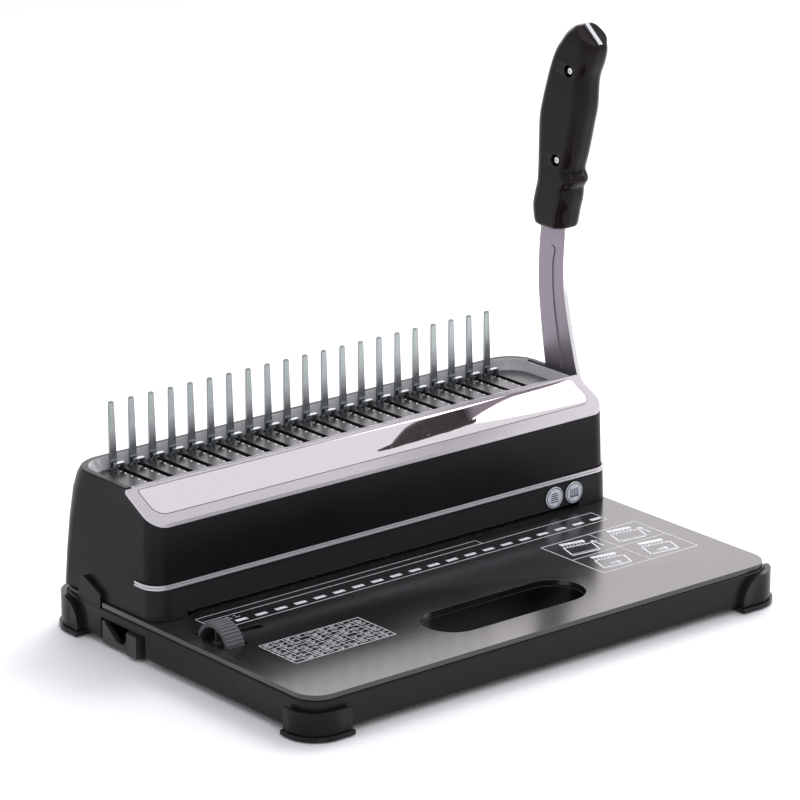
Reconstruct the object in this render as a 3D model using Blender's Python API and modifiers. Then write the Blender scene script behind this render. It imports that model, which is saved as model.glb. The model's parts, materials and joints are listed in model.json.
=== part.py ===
"""Comb binding machine.

A hand lever punches 21 slots in a stack of paper, and opens a plastic comb on 21 tines.

Lengths are in millimetres and are turned into metres where a mesh is made. x runs along the tines with x = 0
in the middle of the table, y runs from front to back with y = 0 at the tines, and z is the height above the
ground. The empty "machine_frame" then shifts the whole machine, so that its box is centred on the origin.
"""

import math

import bmesh
import bpy
from mathutils import Matrix, Vector

MM = 0.001
GAP = 0.3

# The row of rings: 21 at the standard comb pitch of 9/16 inch
RING_COUNT = 21
RING_PITCH = 14.2875
TINE_SHIFT = -1.9  # the tines stand this far left of the punched holes

# The box of the whole machine, whose middle becomes the origin
BOX_X = (-180.6, 190.0)
BOX_Y = (-229.1, 23.6)

# Base and table
BASE_HALF = 175.4
BASE_Y = (-223.9, 18.4)
BASE_Z = (4.0, 22.7)
BASE_WALL = 2.5
FLOOR_TOP = 5.8
TABLE_HALF = 174.4
TABLE_Y = (-222.9, 17.9)
TABLE_Z = (23.0, 26.0)
FRONT_RADIUS = 15.0
REAR_RADIUS = 18.7
SLOT_MIDDLE = (2.0, -178.8)
SLOT_RADIUS = 18.75
BASE_SCREWS = ((-120.0, -205.0), (120.0, -205.0), (-120.0, 10.0), (120.0, 10.0))
SLOT_HALF_RUN = 38.3  # from the middle of the hand slot to the centre of either round end

# Housing: half width, front y, rear y and rear corner radius at each height, bottom to top
HOUSING_LEVELS = (
    (26.3, 172.4, -77.7, 18.2, 10.0),
    (44.4, 171.9, -77.4, 17.9, 11.5),
    (44.8, 171.9, -75.9, 17.9, 11.5),
    (67.0, 171.3, -75.6, 17.4, 14.5),
    (86.0, 170.7, -75.3, 16.0, 17.5),
    (95.0, 170.4, -75.2, 13.7, 19.5),
    (98.6, 170.1, -75.1, 11.6, 20.0),
    (100.0, 169.3, -74.4, 10.4, 20.0),
)
HOUSING_WALL = 2.5
HOUSING_FRONT_RADIUS = 11.0
HOUSING_RIGHT = 3.4  # how much further the housing reaches right than left
CAVITY_TOP = 91.5
THROAT_HALF = 150.0
THROAT_TOP = 29.4

# Fascia: the silver slope between the front wall and the comb tray
CREST = (-47.0, 99.0)
SLOPE = 0.518
FASCIA_THICK = 2.3  # measured straight down
PANEL_X = (-163.2, 166.8)
PANEL_RUN = (2.4, 24.4)  # down the slope from the crest
PANEL_THICK = 0.8

# Comb tray
PLATE_Z = (91.8, 93.3)
PLATE_HALF = 161.8
TINE_TOP = 135.8
TINE_THICK = 1.6

# Lever mechanism
PIVOT = (-45.0, 56.0)
STROKE = math.radians(75.0)
PUNCH_STROKE = 12.0
OPENER_STROKE = 27.0
PUNCH_CRANK = PUNCH_STROKE / 2 / math.sin(STROKE / 2)
OPENER_CRANK = OPENER_STROKE / 2 / math.sin(STROKE / 2)
SHAFT_RADIUS = 6.0
CRANK_PIN_RADIUS = 2.5
CRANK_X = (143.5, 147.5)
DRIVE_X = (138.5, 141.5)
FRAME_X = (157.5, 160.0)
PUNCH_Y = -61.5
DIE_Y = (-70.0, -52.0)
LOWER_DIE_Z = (22.3, 26.0)
UPPER_DIE_Z = (28.6, 32.0)
BAR_Y = (-67.0, -58.3)
BAR_Z = (57.5, 66.5)
POST_X = 153.0

# Lever
ARM_X = (178.5, 181.5)
GRIP_X = 180.0
GRIP_HALF = 10.0
GRIP_PARTING = 0.15
GRIP_EDGE = 8.0
GRIP_SCREWS = ((-40.2, 290.4), (-29.0, 232.4))

# Chip drawer
DRAWER_Y = (-65.0, -28.5)
DRAWER_Z = (2.0, 16.2)
DRAWER_X = (-173.6, 150.0)
DRAWER_MOUTH_Y = (-71.0, -27.7)
DRAWER_MOUTH_TOP = 17.6

# Margin adjuster
WHEEL_CENTRE = (-117.0, 21.2)
WHEEL_RADIUS = 15.0
WHEEL_X = (-162.0, -149.5)

LOOKS = {
    "black_housing": ((0.022, 0.022, 0.024), 0.42, 0.0),
    "black_base": ((0.018, 0.018, 0.020), 0.36, 0.0),
    "black_table": ((0.020, 0.020, 0.023), 0.24, 0.0),
    "black_grip": ((0.012, 0.012, 0.013), 0.16, 0.0),
    "black_nylon": ((0.030, 0.030, 0.032), 0.50, 0.0),
    "grey_wheel": ((0.075, 0.073, 0.078), 0.45, 0.0),
    "rubber": ((0.030, 0.030, 0.030), 0.85, 0.0),
    "silver_trim": ((0.66, 0.64, 0.68), 0.34, 0.6),
    "mirror_panel": ((0.86, 0.82, 0.84), 0.06, 1.0),
    "zinc_steel": ((0.52, 0.56, 0.58), 0.30, 1.0),
    "dark_steel": ((0.17, 0.17, 0.18), 0.45, 1.0),
    "bright_steel": ((0.62, 0.62, 0.63), 0.25, 1.0),
    "painted_steel": ((0.36, 0.33, 0.37), 0.38, 0.7),
    "bronze": ((0.52, 0.38, 0.20), 0.35, 1.0),
    "white_label": ((0.85, 0.86, 0.88), 0.35, 0.0),
}


# Scene helpers


def clear_scene():
    for obj in list(bpy.data.objects):
        bpy.data.objects.remove(obj)


def new_collection(name, hidden):
    group = bpy.data.collections.new(name)
    group.hide_render = hidden
    bpy.context.scene.collection.children.link(group)
    return group


def empty(name, y=0.0, z=0.0, x=0.0, parent=None):
    marker = bpy.data.objects.new(name, None)
    marker.empty_display_size = 0.02
    marker.location = (x * MM, y * MM, z * MM)
    marker.parent = parent
    PARTS.objects.link(marker)
    return marker


def material(look):
    found = bpy.data.materials.get(look)
    if found:
        return found
    colour, roughness, metallic = LOOKS[look]
    made = bpy.data.materials.new(look)
    made.use_nodes = True
    shader = made.node_tree.nodes["Principled BSDF"]
    shader.inputs["Base Color"].default_value = (*colour, 1.0)
    shader.inputs["Roughness"].default_value = roughness
    shader.inputs["Metallic"].default_value = metallic
    made.diffuse_color = (*colour, 1.0)
    return made


def add(name, mesh, look):
    """Puts a mesh in the scene: a part where it has a look, or a hidden cutter where it has none."""
    obj = bpy.data.objects.new(name, mesh)
    obj.parent = FRAME
    if look:
        mesh.materials.append(material(look))
        PARTS.objects.link(obj)
    else:
        CUTTERS.objects.link(obj)
        obj.hide_render = True
        obj.display_type = "WIRE"
    return obj


def ride(joint, *objects):
    """Hangs objects on a joint's empty, with their origins on its axis and their shapes where they were."""
    for obj in objects:
        obj.data.transform(Matrix.Translation(-joint.location))
        obj.parent = joint


def modify(obj, kind, **settings):
    modifier = obj.modifiers.new(kind.lower(), kind)
    for key, value in settings.items():
        setattr(modifier, key, value)
    return obj


def boolean(obj, operation, *others):
    for other in others:
        modify(obj, "BOOLEAN", operation=operation, object=other)
    return obj


def cut(obj, *cutters):
    return boolean(obj, "DIFFERENCE", *cutters)


def join(obj, *others):
    return boolean(obj, "UNION", *others)


def keep(obj, *others):
    return boolean(obj, "INTERSECT", *others)


def bevel(obj, width, segments=2, angle=40.0):
    return modify(obj, "BEVEL", width=width * MM, segments=segments, angle_limit=math.radians(angle))


def smooth(obj, angle=35.0):
    obj.data.shade_smooth()
    obj.data.set_sharp_from_angle(angle=math.radians(angle))
    return obj


# Outlines


def arc(centre, radius, start, end, steps):
    """Points from one angle to another, in degrees, both ends included."""
    angles = [math.radians(start + (end - start) * i / steps) for i in range(steps + 1)]
    return [(centre[0] + radius * math.cos(a), centre[1] + radius * math.sin(a)) for a in angles]


def rounded(corners, steps=4):
    """An outline through corners (a, b, radius), with each corner turned into an arc of its radius."""
    outline = []
    for index, (a, b, radius) in enumerate(corners):
        here = Vector((a, b))
        if radius == 0:
            outline.append((a, b))
            continue
        before = (Vector(corners[index - 1][:2]) - here).normalized()
        after = (Vector(corners[(index + 1) % len(corners)][:2]) - here).normalized()
        half = before.angle(after) / 2
        centre = here + (before + after).normalized() * radius / math.sin(half)
        start = here + before * radius / math.tan(half) - centre
        end = here + after * radius / math.tan(half) - centre
        first = math.atan2(start.y, start.x)
        turn = (math.atan2(end.y, end.x) - first + math.pi) % (2 * math.pi) - math.pi
        for step in range(steps + 1):
            angle = first + turn * step / steps
            outline.append((centre.x + radius * math.cos(angle), centre.y + radius * math.sin(angle)))
    return outline


def rectangle(a, b, radii=(0, 0), steps=4):
    """A rectangle over spans a and b, with its own radius at the low-b and the high-b corners."""
    low, high = radii
    return rounded([(a[0], b[0], low), (a[1], b[0], low), (a[1], b[1], high), (a[0], b[1], high)], steps)


def stadium(centre, half_run, radius, steps=8):
    right = arc((centre[0] + half_run, centre[1]), radius, -90, 90, steps)
    left = arc((centre[0] - half_run, centre[1]), radius, 90, 270, steps)
    return right + left


def curve_through(knots, steps):
    """Catmull-Rom points through knots of any width."""
    padded = [knots[0], *knots, knots[-1]]
    points = []
    for before, start, end, after in zip(padded, padded[1:], padded[2:], padded[3:]):
        for step in range(steps):
            t = step / steps
            weights = (
                (-t + 2 * t**2 - t**3) / 2,
                (2 - 5 * t**2 + 3 * t**3) / 2,
                (t + 4 * t**2 - 3 * t**3) / 2,
                (-(t**2) + t**3) / 2,
            )
            four = (before, start, end, after)
            points.append(tuple(sum(w * k for w, k in zip(weights, values)) for values in zip(*four)))
    return [*points, tuple(knots[-1])]


# Solids


def box(name, x, y, z, look=None):
    mesh = bpy.data.meshes.new(name)
    bm = bmesh.new()
    bmesh.ops.create_cube(bm, size=1.0)
    size = [(span[1] - span[0]) * MM for span in (x, y, z)]
    middle = [(span[1] + span[0]) / 2 * MM for span in (x, y, z)]
    bm.transform(Matrix.Translation(middle) @ Matrix.Diagonal((*size, 1.0)))
    bm.to_mesh(mesh)
    bm.free()
    return add(name, mesh, look)


def upright(axis, middle):
    """Turns a shape drawn in its own XY plane so that its depth lies along the axis, centred on middle."""
    at = middle * MM
    rows = {
        "x": ((0, 0, 1, at), (1, 0, 0, 0), (0, 1, 0, 0), (0, 0, 0, 1)),
        "y": ((1, 0, 0, 0), (0, 0, -1, at), (0, 1, 0, 0), (0, 0, 0, 1)),
        "z": ((1, 0, 0, 0), (0, 1, 0, 0), (0, 0, 1, at), (0, 0, 0, 1)),
    }
    return Matrix(rows[axis])


def flat_mesh(name, outlines, thick):
    """A plate of the first outline, with the others as holes or further plates, centred on its own plane."""
    curve = bpy.data.curves.new(name, "CURVE")
    curve.dimensions = "2D"
    curve.fill_mode = "BOTH"
    curve.extrude = thick / 2 * MM
    for outline in outlines:
        spline = curve.splines.new("POLY")
        spline.points.add(len(outline) - 1)
        for point, (a, b) in zip(spline.points, outline):
            point.co = (a * MM, b * MM, 0.0, 1.0)
        spline.use_cyclic_u = True
    drawn = bpy.data.objects.new(name, curve)
    bpy.context.scene.collection.objects.link(drawn)
    graph = bpy.context.evaluated_depsgraph_get()
    mesh = bpy.data.meshes.new_from_object(drawn.evaluated_get(graph))
    bpy.data.objects.remove(drawn)
    bpy.data.curves.remove(curve)
    bm = bmesh.new()
    bm.from_mesh(mesh)
    bmesh.ops.remove_doubles(bm, verts=bm.verts, dist=1e-6)
    bmesh.ops.recalc_face_normals(bm, faces=bm.faces)
    bm.to_mesh(mesh)
    bm.free()
    return mesh


def prism(name, axis, outlines, span, look=None):
    """Outlines drawn across an axis (y, z for x; x, z for y; x, y for z), made solid over a span of it."""
    mesh = flat_mesh(name, outlines, span[1] - span[0])
    mesh.transform(upright(axis, (span[0] + span[1]) / 2))
    return add(name, mesh, look)


def slope_prism(name, outlines, below, look=None):
    """Outlines drawn on the fascia's slope (x, distance up from the crest), solid over depths below it."""
    mesh = flat_mesh(name, outlines, below[1] - below[0])
    tilt = Matrix.Rotation(math.atan(SLOPE), 4, "X")
    crest = Matrix.Translation((0.0, CREST[0] * MM, CREST[1] * MM))
    mesh.transform(crest @ tilt @ Matrix.Translation((0.0, 0.0, -(below[0] + below[1]) / 2 * MM)))
    return add(name, mesh, look)


def rod(name, axis, centre, radius, span, look=None, sides=24, top_radius=None):
    """A cylinder, or a cone with its own radius at the far end, along an axis."""
    mesh = bpy.data.meshes.new(name)
    bm = bmesh.new()
    far = radius if top_radius is None else top_radius
    depth = (span[1] - span[0]) * MM
    bmesh.ops.create_cone(
        bm, cap_ends=True, segments=sides, radius1=radius * MM, radius2=far * MM, depth=depth
    )
    bm.transform(Matrix.Translation((centre[0] * MM, centre[1] * MM, 0.0)))
    bm.transform(upright(axis, (span[0] + span[1]) / 2))
    bm.to_mesh(mesh)
    bm.free()
    return add(name, mesh, look)


def loft(name, rings, look=None):
    """A closed solid through level rings of equal point counts, each counter-clockwise, bottom to top."""
    mesh = bpy.data.meshes.new(name)
    bm = bmesh.new()
    loops = [[bm.verts.new((x * MM, y * MM, z * MM)) for x, y in ring] for z, ring in rings]
    bm.faces.new(reversed(loops[0]))
    bm.faces.new(loops[-1])
    for lower, upper in zip(loops, loops[1:]):
        for i in range(len(lower)):
            j = (i + 1) % len(lower)
            bm.faces.new((lower[i], lower[j], upper[j], upper[i]))
    bm.to_mesh(mesh)
    bm.free()
    return add(name, mesh, look)


def ring_x(index):
    """The middle of a punched hole."""
    return (index - (RING_COUNT - 1) / 2) * RING_PITCH


def tine_x(index):
    return ring_x(index) + TINE_SHIFT


# Base


def base_pan():
    outline = rectangle((-BASE_HALF, BASE_HALF), BASE_Y, (FRONT_RADIUS, REAR_RADIUS))
    pan = prism("base_pan", "z", [outline], BASE_Z, "black_base")
    bevel(pan, 0.8, 1)
    inner_x = BASE_HALF - BASE_WALL
    inner_y = (BASE_Y[0] + BASE_WALL, BASE_Y[1] - BASE_WALL)
    inner_radii = (FRONT_RADIUS - BASE_WALL, REAR_RADIUS - BASE_WALL)
    inner = rectangle((-inner_x, inner_x), inner_y, inner_radii)
    hollow = prism("pan_hollow", "z", [inner], (FLOOR_TOP, 30.0))
    slot = prism("pan_slot", "z", [stadium(SLOT_MIDDLE, SLOT_HALF_RUN, SLOT_RADIUS - 1.0)], (0.0, 30.0))
    mouth = box("pan_drawer_mouth", (-180.0, -170.0), DRAWER_MOUTH_Y, (0.0, DRAWER_MOUTH_TOP))
    floor_y = (DRAWER_Y[0] - 0.8, DRAWER_Y[1] + 0.8)
    floor_cut = box("pan_drawer_floor", (-180.0, DRAWER_X[1] + 2), floor_y, (0.0, 8.0))
    cut(pan, hollow)
    cut(pan, slot, mouth, floor_cut)
    corners = [(-26.9, 14.0, 0), (-26.9, 30.8, 1.5), (-9.0, 38.6, 2.0), (-4.6, 24.9, 0), (-4.6, 14.0, 0)]
    tab = rounded(corners, 3)
    return join(pan, prism("pan_tab", "x", [tab], (-175.15, -172.8)))


def table_top():
    window = rectangle((-161.2, 161.2), (DIE_Y[0] - GAP - 0.2, 12.0))
    wheel_window = rectangle((WHEEL_X[0] - 1.6, WHEEL_X[1] + 1.4), (-133.6, -100.4), (2.0, 2.0), 2)
    pointer_window = rectangle((-140.4, -125.6), (-117.8, -112.8))
    guide_slot = rectangle((-155.2, -145.0), (-76.0, -71.6))
    edge = rounded(
        [
            (-TABLE_HALF, TABLE_Y[0], FRONT_RADIUS),
            (TABLE_HALF, TABLE_Y[0], FRONT_RADIUS),
            (TABLE_HALF, TABLE_Y[1], REAR_RADIUS),
            (-TABLE_HALF, TABLE_Y[1], REAR_RADIUS),
            (-TABLE_HALF, -4.0, 0),
            (-172.4, -4.0, 0),
            (-172.4, -27.6, 0),
            (-TABLE_HALF, -27.6, 0),
        ]
    )
    hand_slot = stadium(SLOT_MIDDLE, SLOT_HALF_RUN, SLOT_RADIUS)
    outlines = [edge, hand_slot, window, wheel_window, pointer_window, guide_slot]
    table = prism("table_top", "z", outlines, TABLE_Z, "black_table")
    return bevel(table, 0.9, 1)


def hand_slot_liner():
    """The wall round the hand slot, from the pan's floor to the table."""
    outer = stadium(SLOT_MIDDLE, SLOT_HALF_RUN, SLOT_RADIUS + 1.4)
    inner = stadium(SLOT_MIDDLE, SLOT_HALF_RUN, SLOT_RADIUS - 0.6)
    span = (FLOOR_TOP + GAP, TABLE_Z[0] - GAP)
    liner = prism("hand_slot_liner", "z", [outer, inner], span, "black_base")
    return bevel(liner, 0.4, 1)


def quarter(low, high, foot, top, radius):
    """A guard's side view: square at high, and falling in a quarter round to the foot at low."""
    centre = (low + radius, top - radius)
    return [(high, foot), (high, top), *arc(centre, radius, 90, 180, 6), (low, foot)]


def corner_guard(name, side, end, length, top, round_radius):
    """A bumper round one corner of the base, on a flanged foot.

    side is -1 for the left and 1 for the right, and end is -1 for the front and 1 for the rear.
    """
    outer_x = BASE_HALF + 3.8
    outer_y = BASE_Y[1] + 3.8 if end > 0 else -(BASE_Y[0] - 3.8)
    base_radius = REAR_RADIUS if end > 0 else FRONT_RADIUS
    radius = base_radius + 3.8

    def placed(points):
        flipped = [(side * a, end * b) for a, b in points]
        return flipped if side * end > 0 else flipped[::-1]

    def square(out_x, out_y, long_x, long_y, corner, span, label, look=None):
        corners = [(out_x - long_x, out_y - long_y, 0), (out_x, out_y - long_y, 0), (out_x, out_y, corner),
                   (out_x - long_x, out_y, 0)]
        return prism(label, "z", [placed(rounded(corners))], span, look)

    long_x, long_y = length
    guard = square(outer_x, outer_y, long_x, long_y, radius, (0.8, top), name, "black_base")
    bevel(guard, 0.7, 1)
    flange = square(outer_x + 1.4, outer_y + 1.4, long_x + 2.4, long_y + 2.4, radius + 1.4, (1.0, 3.7),
                    name + "_foot")
    inside = square(BASE_HALF + GAP, outer_y - 3.8 + GAP, 90, 90, base_radius + GAP, (4.0 - GAP, 60.0),
                    name + "_inside")
    join(guard, flange)
    cut(guard, inside)
    if round_radius:
        lows = (outer_x - long_x, outer_y - long_y)
        front_view = quarter(lows[0], outer_x + 9, 3.9, top, round_radius)
        side_view = quarter(lows[1], outer_y + 9, 3.9, top, round_radius)
        above_front = [(lows[0] - 9, 3.9), (lows[0] - 9, 60), (outer_x + 9, 60), *front_view[1:]]
        above_side = [(lows[1] - 9, 3.9), (lows[1] - 9, 60), (outer_y + 9, 60), *side_view[1:]]
        mirrored_front = [(side * a, z) for a, z in above_front]
        mirrored_side = [(end * b, z) for b, z in above_side]
        cut(guard, prism(name + "_front_round", "y", [mirrored_front], (-240, 40)))
        cut(guard, prism(name + "_side_round", "x", [mirrored_side], (-190, 190)))
    pad = (side * (outer_x - 15), end * (outer_y - 15))
    cut(guard, rod(name + "_pocket", "z", pad, 9.4, (0.0, 2.7), sides=16))
    return guard, pad


def base_parts():
    guards = [
        corner_guard("guard_front_left", -1, -1, (30.0, 24.0), 17.2, 0),
        corner_guard("guard_front_right", 1, -1, (32.0, 25.0), 21.6, 15.0),
        corner_guard("guard_rear_left", -1, 1, (32.0, 31.0), 22.4, 15.0),
        corner_guard("guard_rear_right", 1, 1, (32.0, 31.0), 22.4, 15.0),
    ]
    for guard, pad in guards:
        rod(guard.name.replace("guard", "foot"), "z", pad, 9.0, (0.0, 2.4), "rubber", 16)
    for index, spot in enumerate(BASE_SCREWS):
        rod(f"base_screw_{index + 1}", "z", spot, 3.4, (2.2, 3.7), "bright_steel", 10, 4.4)


# Housing


def housing_rings(inset, levels):
    rings = []
    for z, half, front, rear, rear_radius in levels:
        radii = (HOUSING_FRONT_RADIUS - inset, rear_radius - inset)
        x = (-half + inset, half + HOUSING_RIGHT - inset)
        rings.append((z, rectangle(x, (front + inset, rear - inset), radii, 5)))
    return rings


def slope_line(y, drop):
    return CREST[1] + SLOPE * (y - CREST[0]) - drop


def above_slope(name, drop, rear=-46.5):
    """Everything above a line parallel to the fascia, in front of the tray."""
    ends = [(y, slope_line(y, drop)) for y in (-95.0, rear)]
    outline = [*ends, (rear, 130.0), (-95.0, 130.0)]
    return prism(name, "x", [outline], (-190, 190))


def housing_shell():
    shell = smooth(loft("housing_shell", housing_rings(0.0, HOUSING_LEVELS), "black_housing"), 25)
    inside = [level for level in HOUSING_LEVELS if level[0] < CAVITY_TOP]
    top = (CAVITY_TOP, 170.5, -75.2, 14.6, 18.7)
    bottom = (20.0, 172.6, -77.8, 18.3, 9.5)
    inside = [bottom] + [level for level in inside if level[0] not in (44.4, 44.8)] + [top]
    cavity = loft("housing_cavity", housing_rings(HOUSING_WALL, inside))
    cut(cavity, above_slope("cavity_slope", FASCIA_THICK + 0.35 + 2.7))
    tray_front = CREST[0] + 0.2
    tray = loft(
        "housing_tray",
        [
            (91.2, rectangle((-162.2, 165.6), (tray_front, 3.6), (0.5, 16.0), 5)),
            (93.6, rectangle((-162.2, 165.6), (tray_front, 3.6), (0.5, 16.0), 5)),
            (100.4, rectangle((-165.6, 169.0), (tray_front, 7.2), (0.5, 18.0), 5)),
        ],
    )
    throat = box("housing_throat", (-THROAT_HALF, THROAT_HALF), (-90, -60), (20, THROAT_TOP))
    shaft_hole = rod("housing_shaft_hole", "x", PIVOT, 8.0, (165, 180))
    return cut(shell, cavity, above_slope("housing_slope", FASCIA_THICK + 0.35), tray, throat, shaft_hole)


def fascia():
    """The silver cover: a sloping front face, a crest, and a short slope back down into the tray."""
    trim = smooth(loft("fascia_trim", housing_rings(0.0, HOUSING_LEVELS), "silver_trim"), 25)
    front = [(-95.0, slope_line(-95.0, 0)), CREST, (CREST[0], CREST[1] - FASCIA_THICK),
             (-95.0, slope_line(-95.0, FASCIA_THICK))]
    keep(trim, prism("fascia_slab", "x", [front], (-190, 190)))
    back = [(-47.6, 98.5), (-46.9, 98.9), (-38.0, 95.0), (-33.5, 94.4), (-33.5, 93.6), (-39.0, 93.6),
            (-47.6, 96.9)]
    join(trim, prism("fascia_back", "x", [back], (-PLATE_HALF, PLATE_HALF + HOUSING_RIGHT)))
    low, high = -PANEL_RUN[1], -PANEL_RUN[0]
    pocket = rectangle((PANEL_X[0] - 0.4, PANEL_X[1] + 0.4), (low - 0.4, high + 0.4), (8.0, 2.4))
    cut(trim, slope_prism("fascia_pocket", [pocket], (-3.0, 1.0)))
    panel = rectangle(PANEL_X, (low, high), (7.6, 2.0))
    slope_prism("fascia_panel", [panel], (-0.1, PANEL_THICK - 0.1), "mirror_panel")
    return trim


def accent_strip():
    """A silver band that wraps the front of the housing at the step, with a groove along its middle."""

    def band(name, inset, low, high, look=None):
        """A ring round the housing between two heights, standing out by minus the inset."""
        levels = ((low, 171.9, -75.9, 17.9, 11.5), (high, 171.85, -75.88, 17.8, 11.6))
        return loft(name, housing_rings(inset, levels), look)

    strip = smooth(band("accent_strip", -1.4, 44.9, 47.9, "silver_trim"), 25)
    groove = band("strip_groove", -3.0, 46.2, 46.8)
    cut(groove, band("strip_groove_inside", -0.9, 40.0, 52.0))
    behind = box("strip_behind", (-190, 190), (-58.0, 60.0), (30, 60))
    return cut(strip, band("strip_inside", -GAP, 40.0, 52.0), behind, groove)


def housing_parts():
    housing_shell()
    fascia()
    accent_strip()
    for name, x in (("label_left", 129.0), ("label_right", 144.9)):
        rod(name, "y", (x, 36.8), 6.8, (-78.6, -77.95), "white_label")
    for name, x in (("housing_screw_left", -120.0), ("housing_screw_right", 120.0)):
        rod(name, "y", (x, 33.0), 4.0, (18.6, 20.0), "bright_steel", 12)


# Comb tray


def comb_plate():
    outline = rectangle((-PLATE_HALF, PLATE_HALF + HOUSING_RIGHT), (-44.0, 3.2), (1.0, 17.0))
    slots = []
    for index in range(RING_COUNT):
        x = tine_x(index)
        slots.append([(x + 3.1, -33.2), (x + 7.1, -33.2), (x + 7.1, 1.2), (x - 3.0, 1.2), (x - 3.0, -1.2),
                      (x + 3.1, -1.2)])
    return prism("comb_plate", "z", [outline, *slots], PLATE_Z, "dark_steel")


def tine_comb():
    """One stamped strip: a spine under the plate, and 21 tines that taper on their right side."""
    outline = [(-157.2, 80.0), (157.2, 80.0), (157.2, 86.5)]
    for index in reversed(range(RING_COUNT)):
        x = tine_x(index)
        outline += [(x + 2.6, 86.5), (x + 2.5, 96.0), (x + 1.2, TINE_TOP - 1.6), (x + 0.4, TINE_TOP),
                    (x - 1.5, TINE_TOP), (x - 2.4, TINE_TOP - 1.6), (x - 2.6, 86.5)]
    outline.append((-157.2, 86.5))
    return prism("tine_comb", "y", [outline], (-TINE_THICK / 2, TINE_THICK / 2), "zinc_steel")


def opener_slide():
    """The hooks that pull a comb open, one in front of each tine, on a bar that the cranks draw forward."""
    bar = box("opener_slide", (-150.0, 152.0), (-9.0, -1.5), (87.6, 90.4), "zinc_steel")
    hooks = []
    for index in range(RING_COUNT):
        x = tine_x(index)
        hook = [(x + 3.5, 89.5), (x + 5.6, 89.5), (x + 5.6, 98.4), (x - 1.4, 98.4), (x - 1.4, 94.4),
                (x - 0.2, 94.4), (x - 0.2, 97.0), (x + 3.5, 97.0)]
        hooks.append(hook[::-1])
    join(bar, prism("opener_hooks", "y", hooks, (-4.9, -1.9)))
    slot_y = PIVOT[0] + OPENER_STROKE / 2
    slot_z = PIVOT[1] + OPENER_CRANK * math.cos(STROKE / 2)
    top = PIVOT[1] + OPENER_CRANK
    reach = CRANK_PIN_RADIUS + 0.6
    front, rear = slot_y - reach - 2.0, slot_y + reach + 2.0
    foot = slot_z - reach - 2
    plate = [(front, foot), (rear, foot), (rear, 78.0), (-8.0, 87.0), (-4.0, 88.0), (-4.0, 90.0),
             (-12.0, 90.0), (rear, 86.0), (front + 3, top + reach + 2), (front, top + reach - 1)]
    slot = rectangle((slot_y - reach, slot_y + reach), (slot_z - reach, top + reach))
    for side in (-1, 1):
        span = sorted((side * DRIVE_X[0], side * DRIVE_X[1]))
        join(bar, prism(f"opener_drive_{side}", "x", [plate, slot], span))
    return bar


# Punch


def die(name, z):
    outline = rectangle((-157.0, 157.0), DIE_Y)
    holes = []
    for index in range(RING_COUNT):
        x = ring_x(index)
        holes.append(rectangle((x - 4.3, x + 4.3), (PUNCH_Y - 1.7, PUNCH_Y + 1.7)))
    return prism(name, "z", [outline, *holes], z, "bright_steel")


def punch_bar():
    bar = box("punch_bar", (-156.8, 156.8), BAR_Y, BAR_Z, "dark_steel")
    for side in (-1, 1):
        cut(bar, rod(f"bar_post_hole_{side}", "z", (side * POST_X, PUNCH_Y), 2.9, (50, 75), sides=16))
    pin_z = PIVOT[1] + PUNCH_STROKE / 2
    far = PIVOT[0] - PUNCH_CRANK
    reach = CRANK_PIN_RADIUS + 0.35
    open_end = PIVOT[0] - SHAFT_RADIUS - 0.6
    low, high = BAR_Z[0] + 0.1, pin_z + 5.1
    front = BAR_Y[0] + 1.2
    fork = [(front, low), (open_end, low), (open_end, pin_z - reach), (far - reach, pin_z - reach),
            (far - reach, pin_z + reach), (open_end, pin_z + reach), (open_end, high), (front, high)]
    for side in (-1, 1):
        span = sorted((side * DRIVE_X[0], side * DRIVE_X[1]))
        join(bar, prism(f"bar_drive_{side}", "x", [fork], span))
    return bar


def punch_pins():
    """The 21 punches, hung from one carrier strip under the bar."""
    top = BAR_Z[0] - GAP
    strip_y = (PUNCH_Y - 2.2, PUNCH_Y + 2.2)
    pins = box("punch_pins", (-148.0, 148.0), strip_y, (top - 2.0, top), "bright_steel")
    outlines = []
    for index in range(RING_COUNT):
        x = ring_x(index)
        outlines.append([(x - 4, 29.4), (x + 4, 29.4), (x + 4, top - 1), (x - 4, top - 1)])
    return join(pins, prism("pin_row", "y", outlines, (PUNCH_Y - 1.4, PUNCH_Y + 1.4)))


def return_spring(name, x):
    """A coil round its guide post, between the upper die and the punch bar."""
    turns, per_turn, coil_radius = 6, 8, 3.6
    low, high = UPPER_DIE_Z[1] + 1.0, BAR_Z[0] - 1.0
    curve = bpy.data.curves.new(name, "CURVE")
    curve.dimensions = "3D"
    curve.bevel_depth = 0.55 * MM
    curve.bevel_resolution = 0
    curve.use_fill_caps = True
    spline = curve.splines.new("POLY")
    count = turns * per_turn
    spline.points.add(count)
    for step, point in enumerate(spline.points):
        angle = 2 * math.pi * step / per_turn
        z = low + (high - low) * step / count
        a, b = x + coil_radius * math.cos(angle), PUNCH_Y + coil_radius * math.sin(angle)
        point.co = (a * MM, b * MM, z * MM, 1)
    drawn = bpy.data.objects.new(name, curve)
    bpy.context.scene.collection.objects.link(drawn)
    mesh = bpy.data.meshes.new_from_object(drawn.evaluated_get(bpy.context.evaluated_depsgraph_get()))
    bpy.data.objects.remove(drawn)
    bm = bmesh.new()
    bm.from_mesh(mesh)
    bmesh.ops.remove_doubles(bm, verts=bm.verts, dist=1e-6)
    bm.to_mesh(mesh)
    bm.free()
    return add(name, mesh, "bright_steel")


def side_frame(name, side):
    corners = [(-69.0, 26.6, 0), (-20.0, 26.6, 0), (-20.0, 6.1, 0), (9.4, 6.1, 0), (9.4, 91.1, 3),
               (-51.0, 91.1, 2), (-69.0, 81.7, 3)]
    outline = rounded(corners, 2)
    bore = arc(PIVOT, 9.4, 0, 345, 23)
    span = sorted((side * FRAME_X[0], side * FRAME_X[1]))
    return prism(name, "x", [outline, bore], span, "dark_steel")


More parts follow.
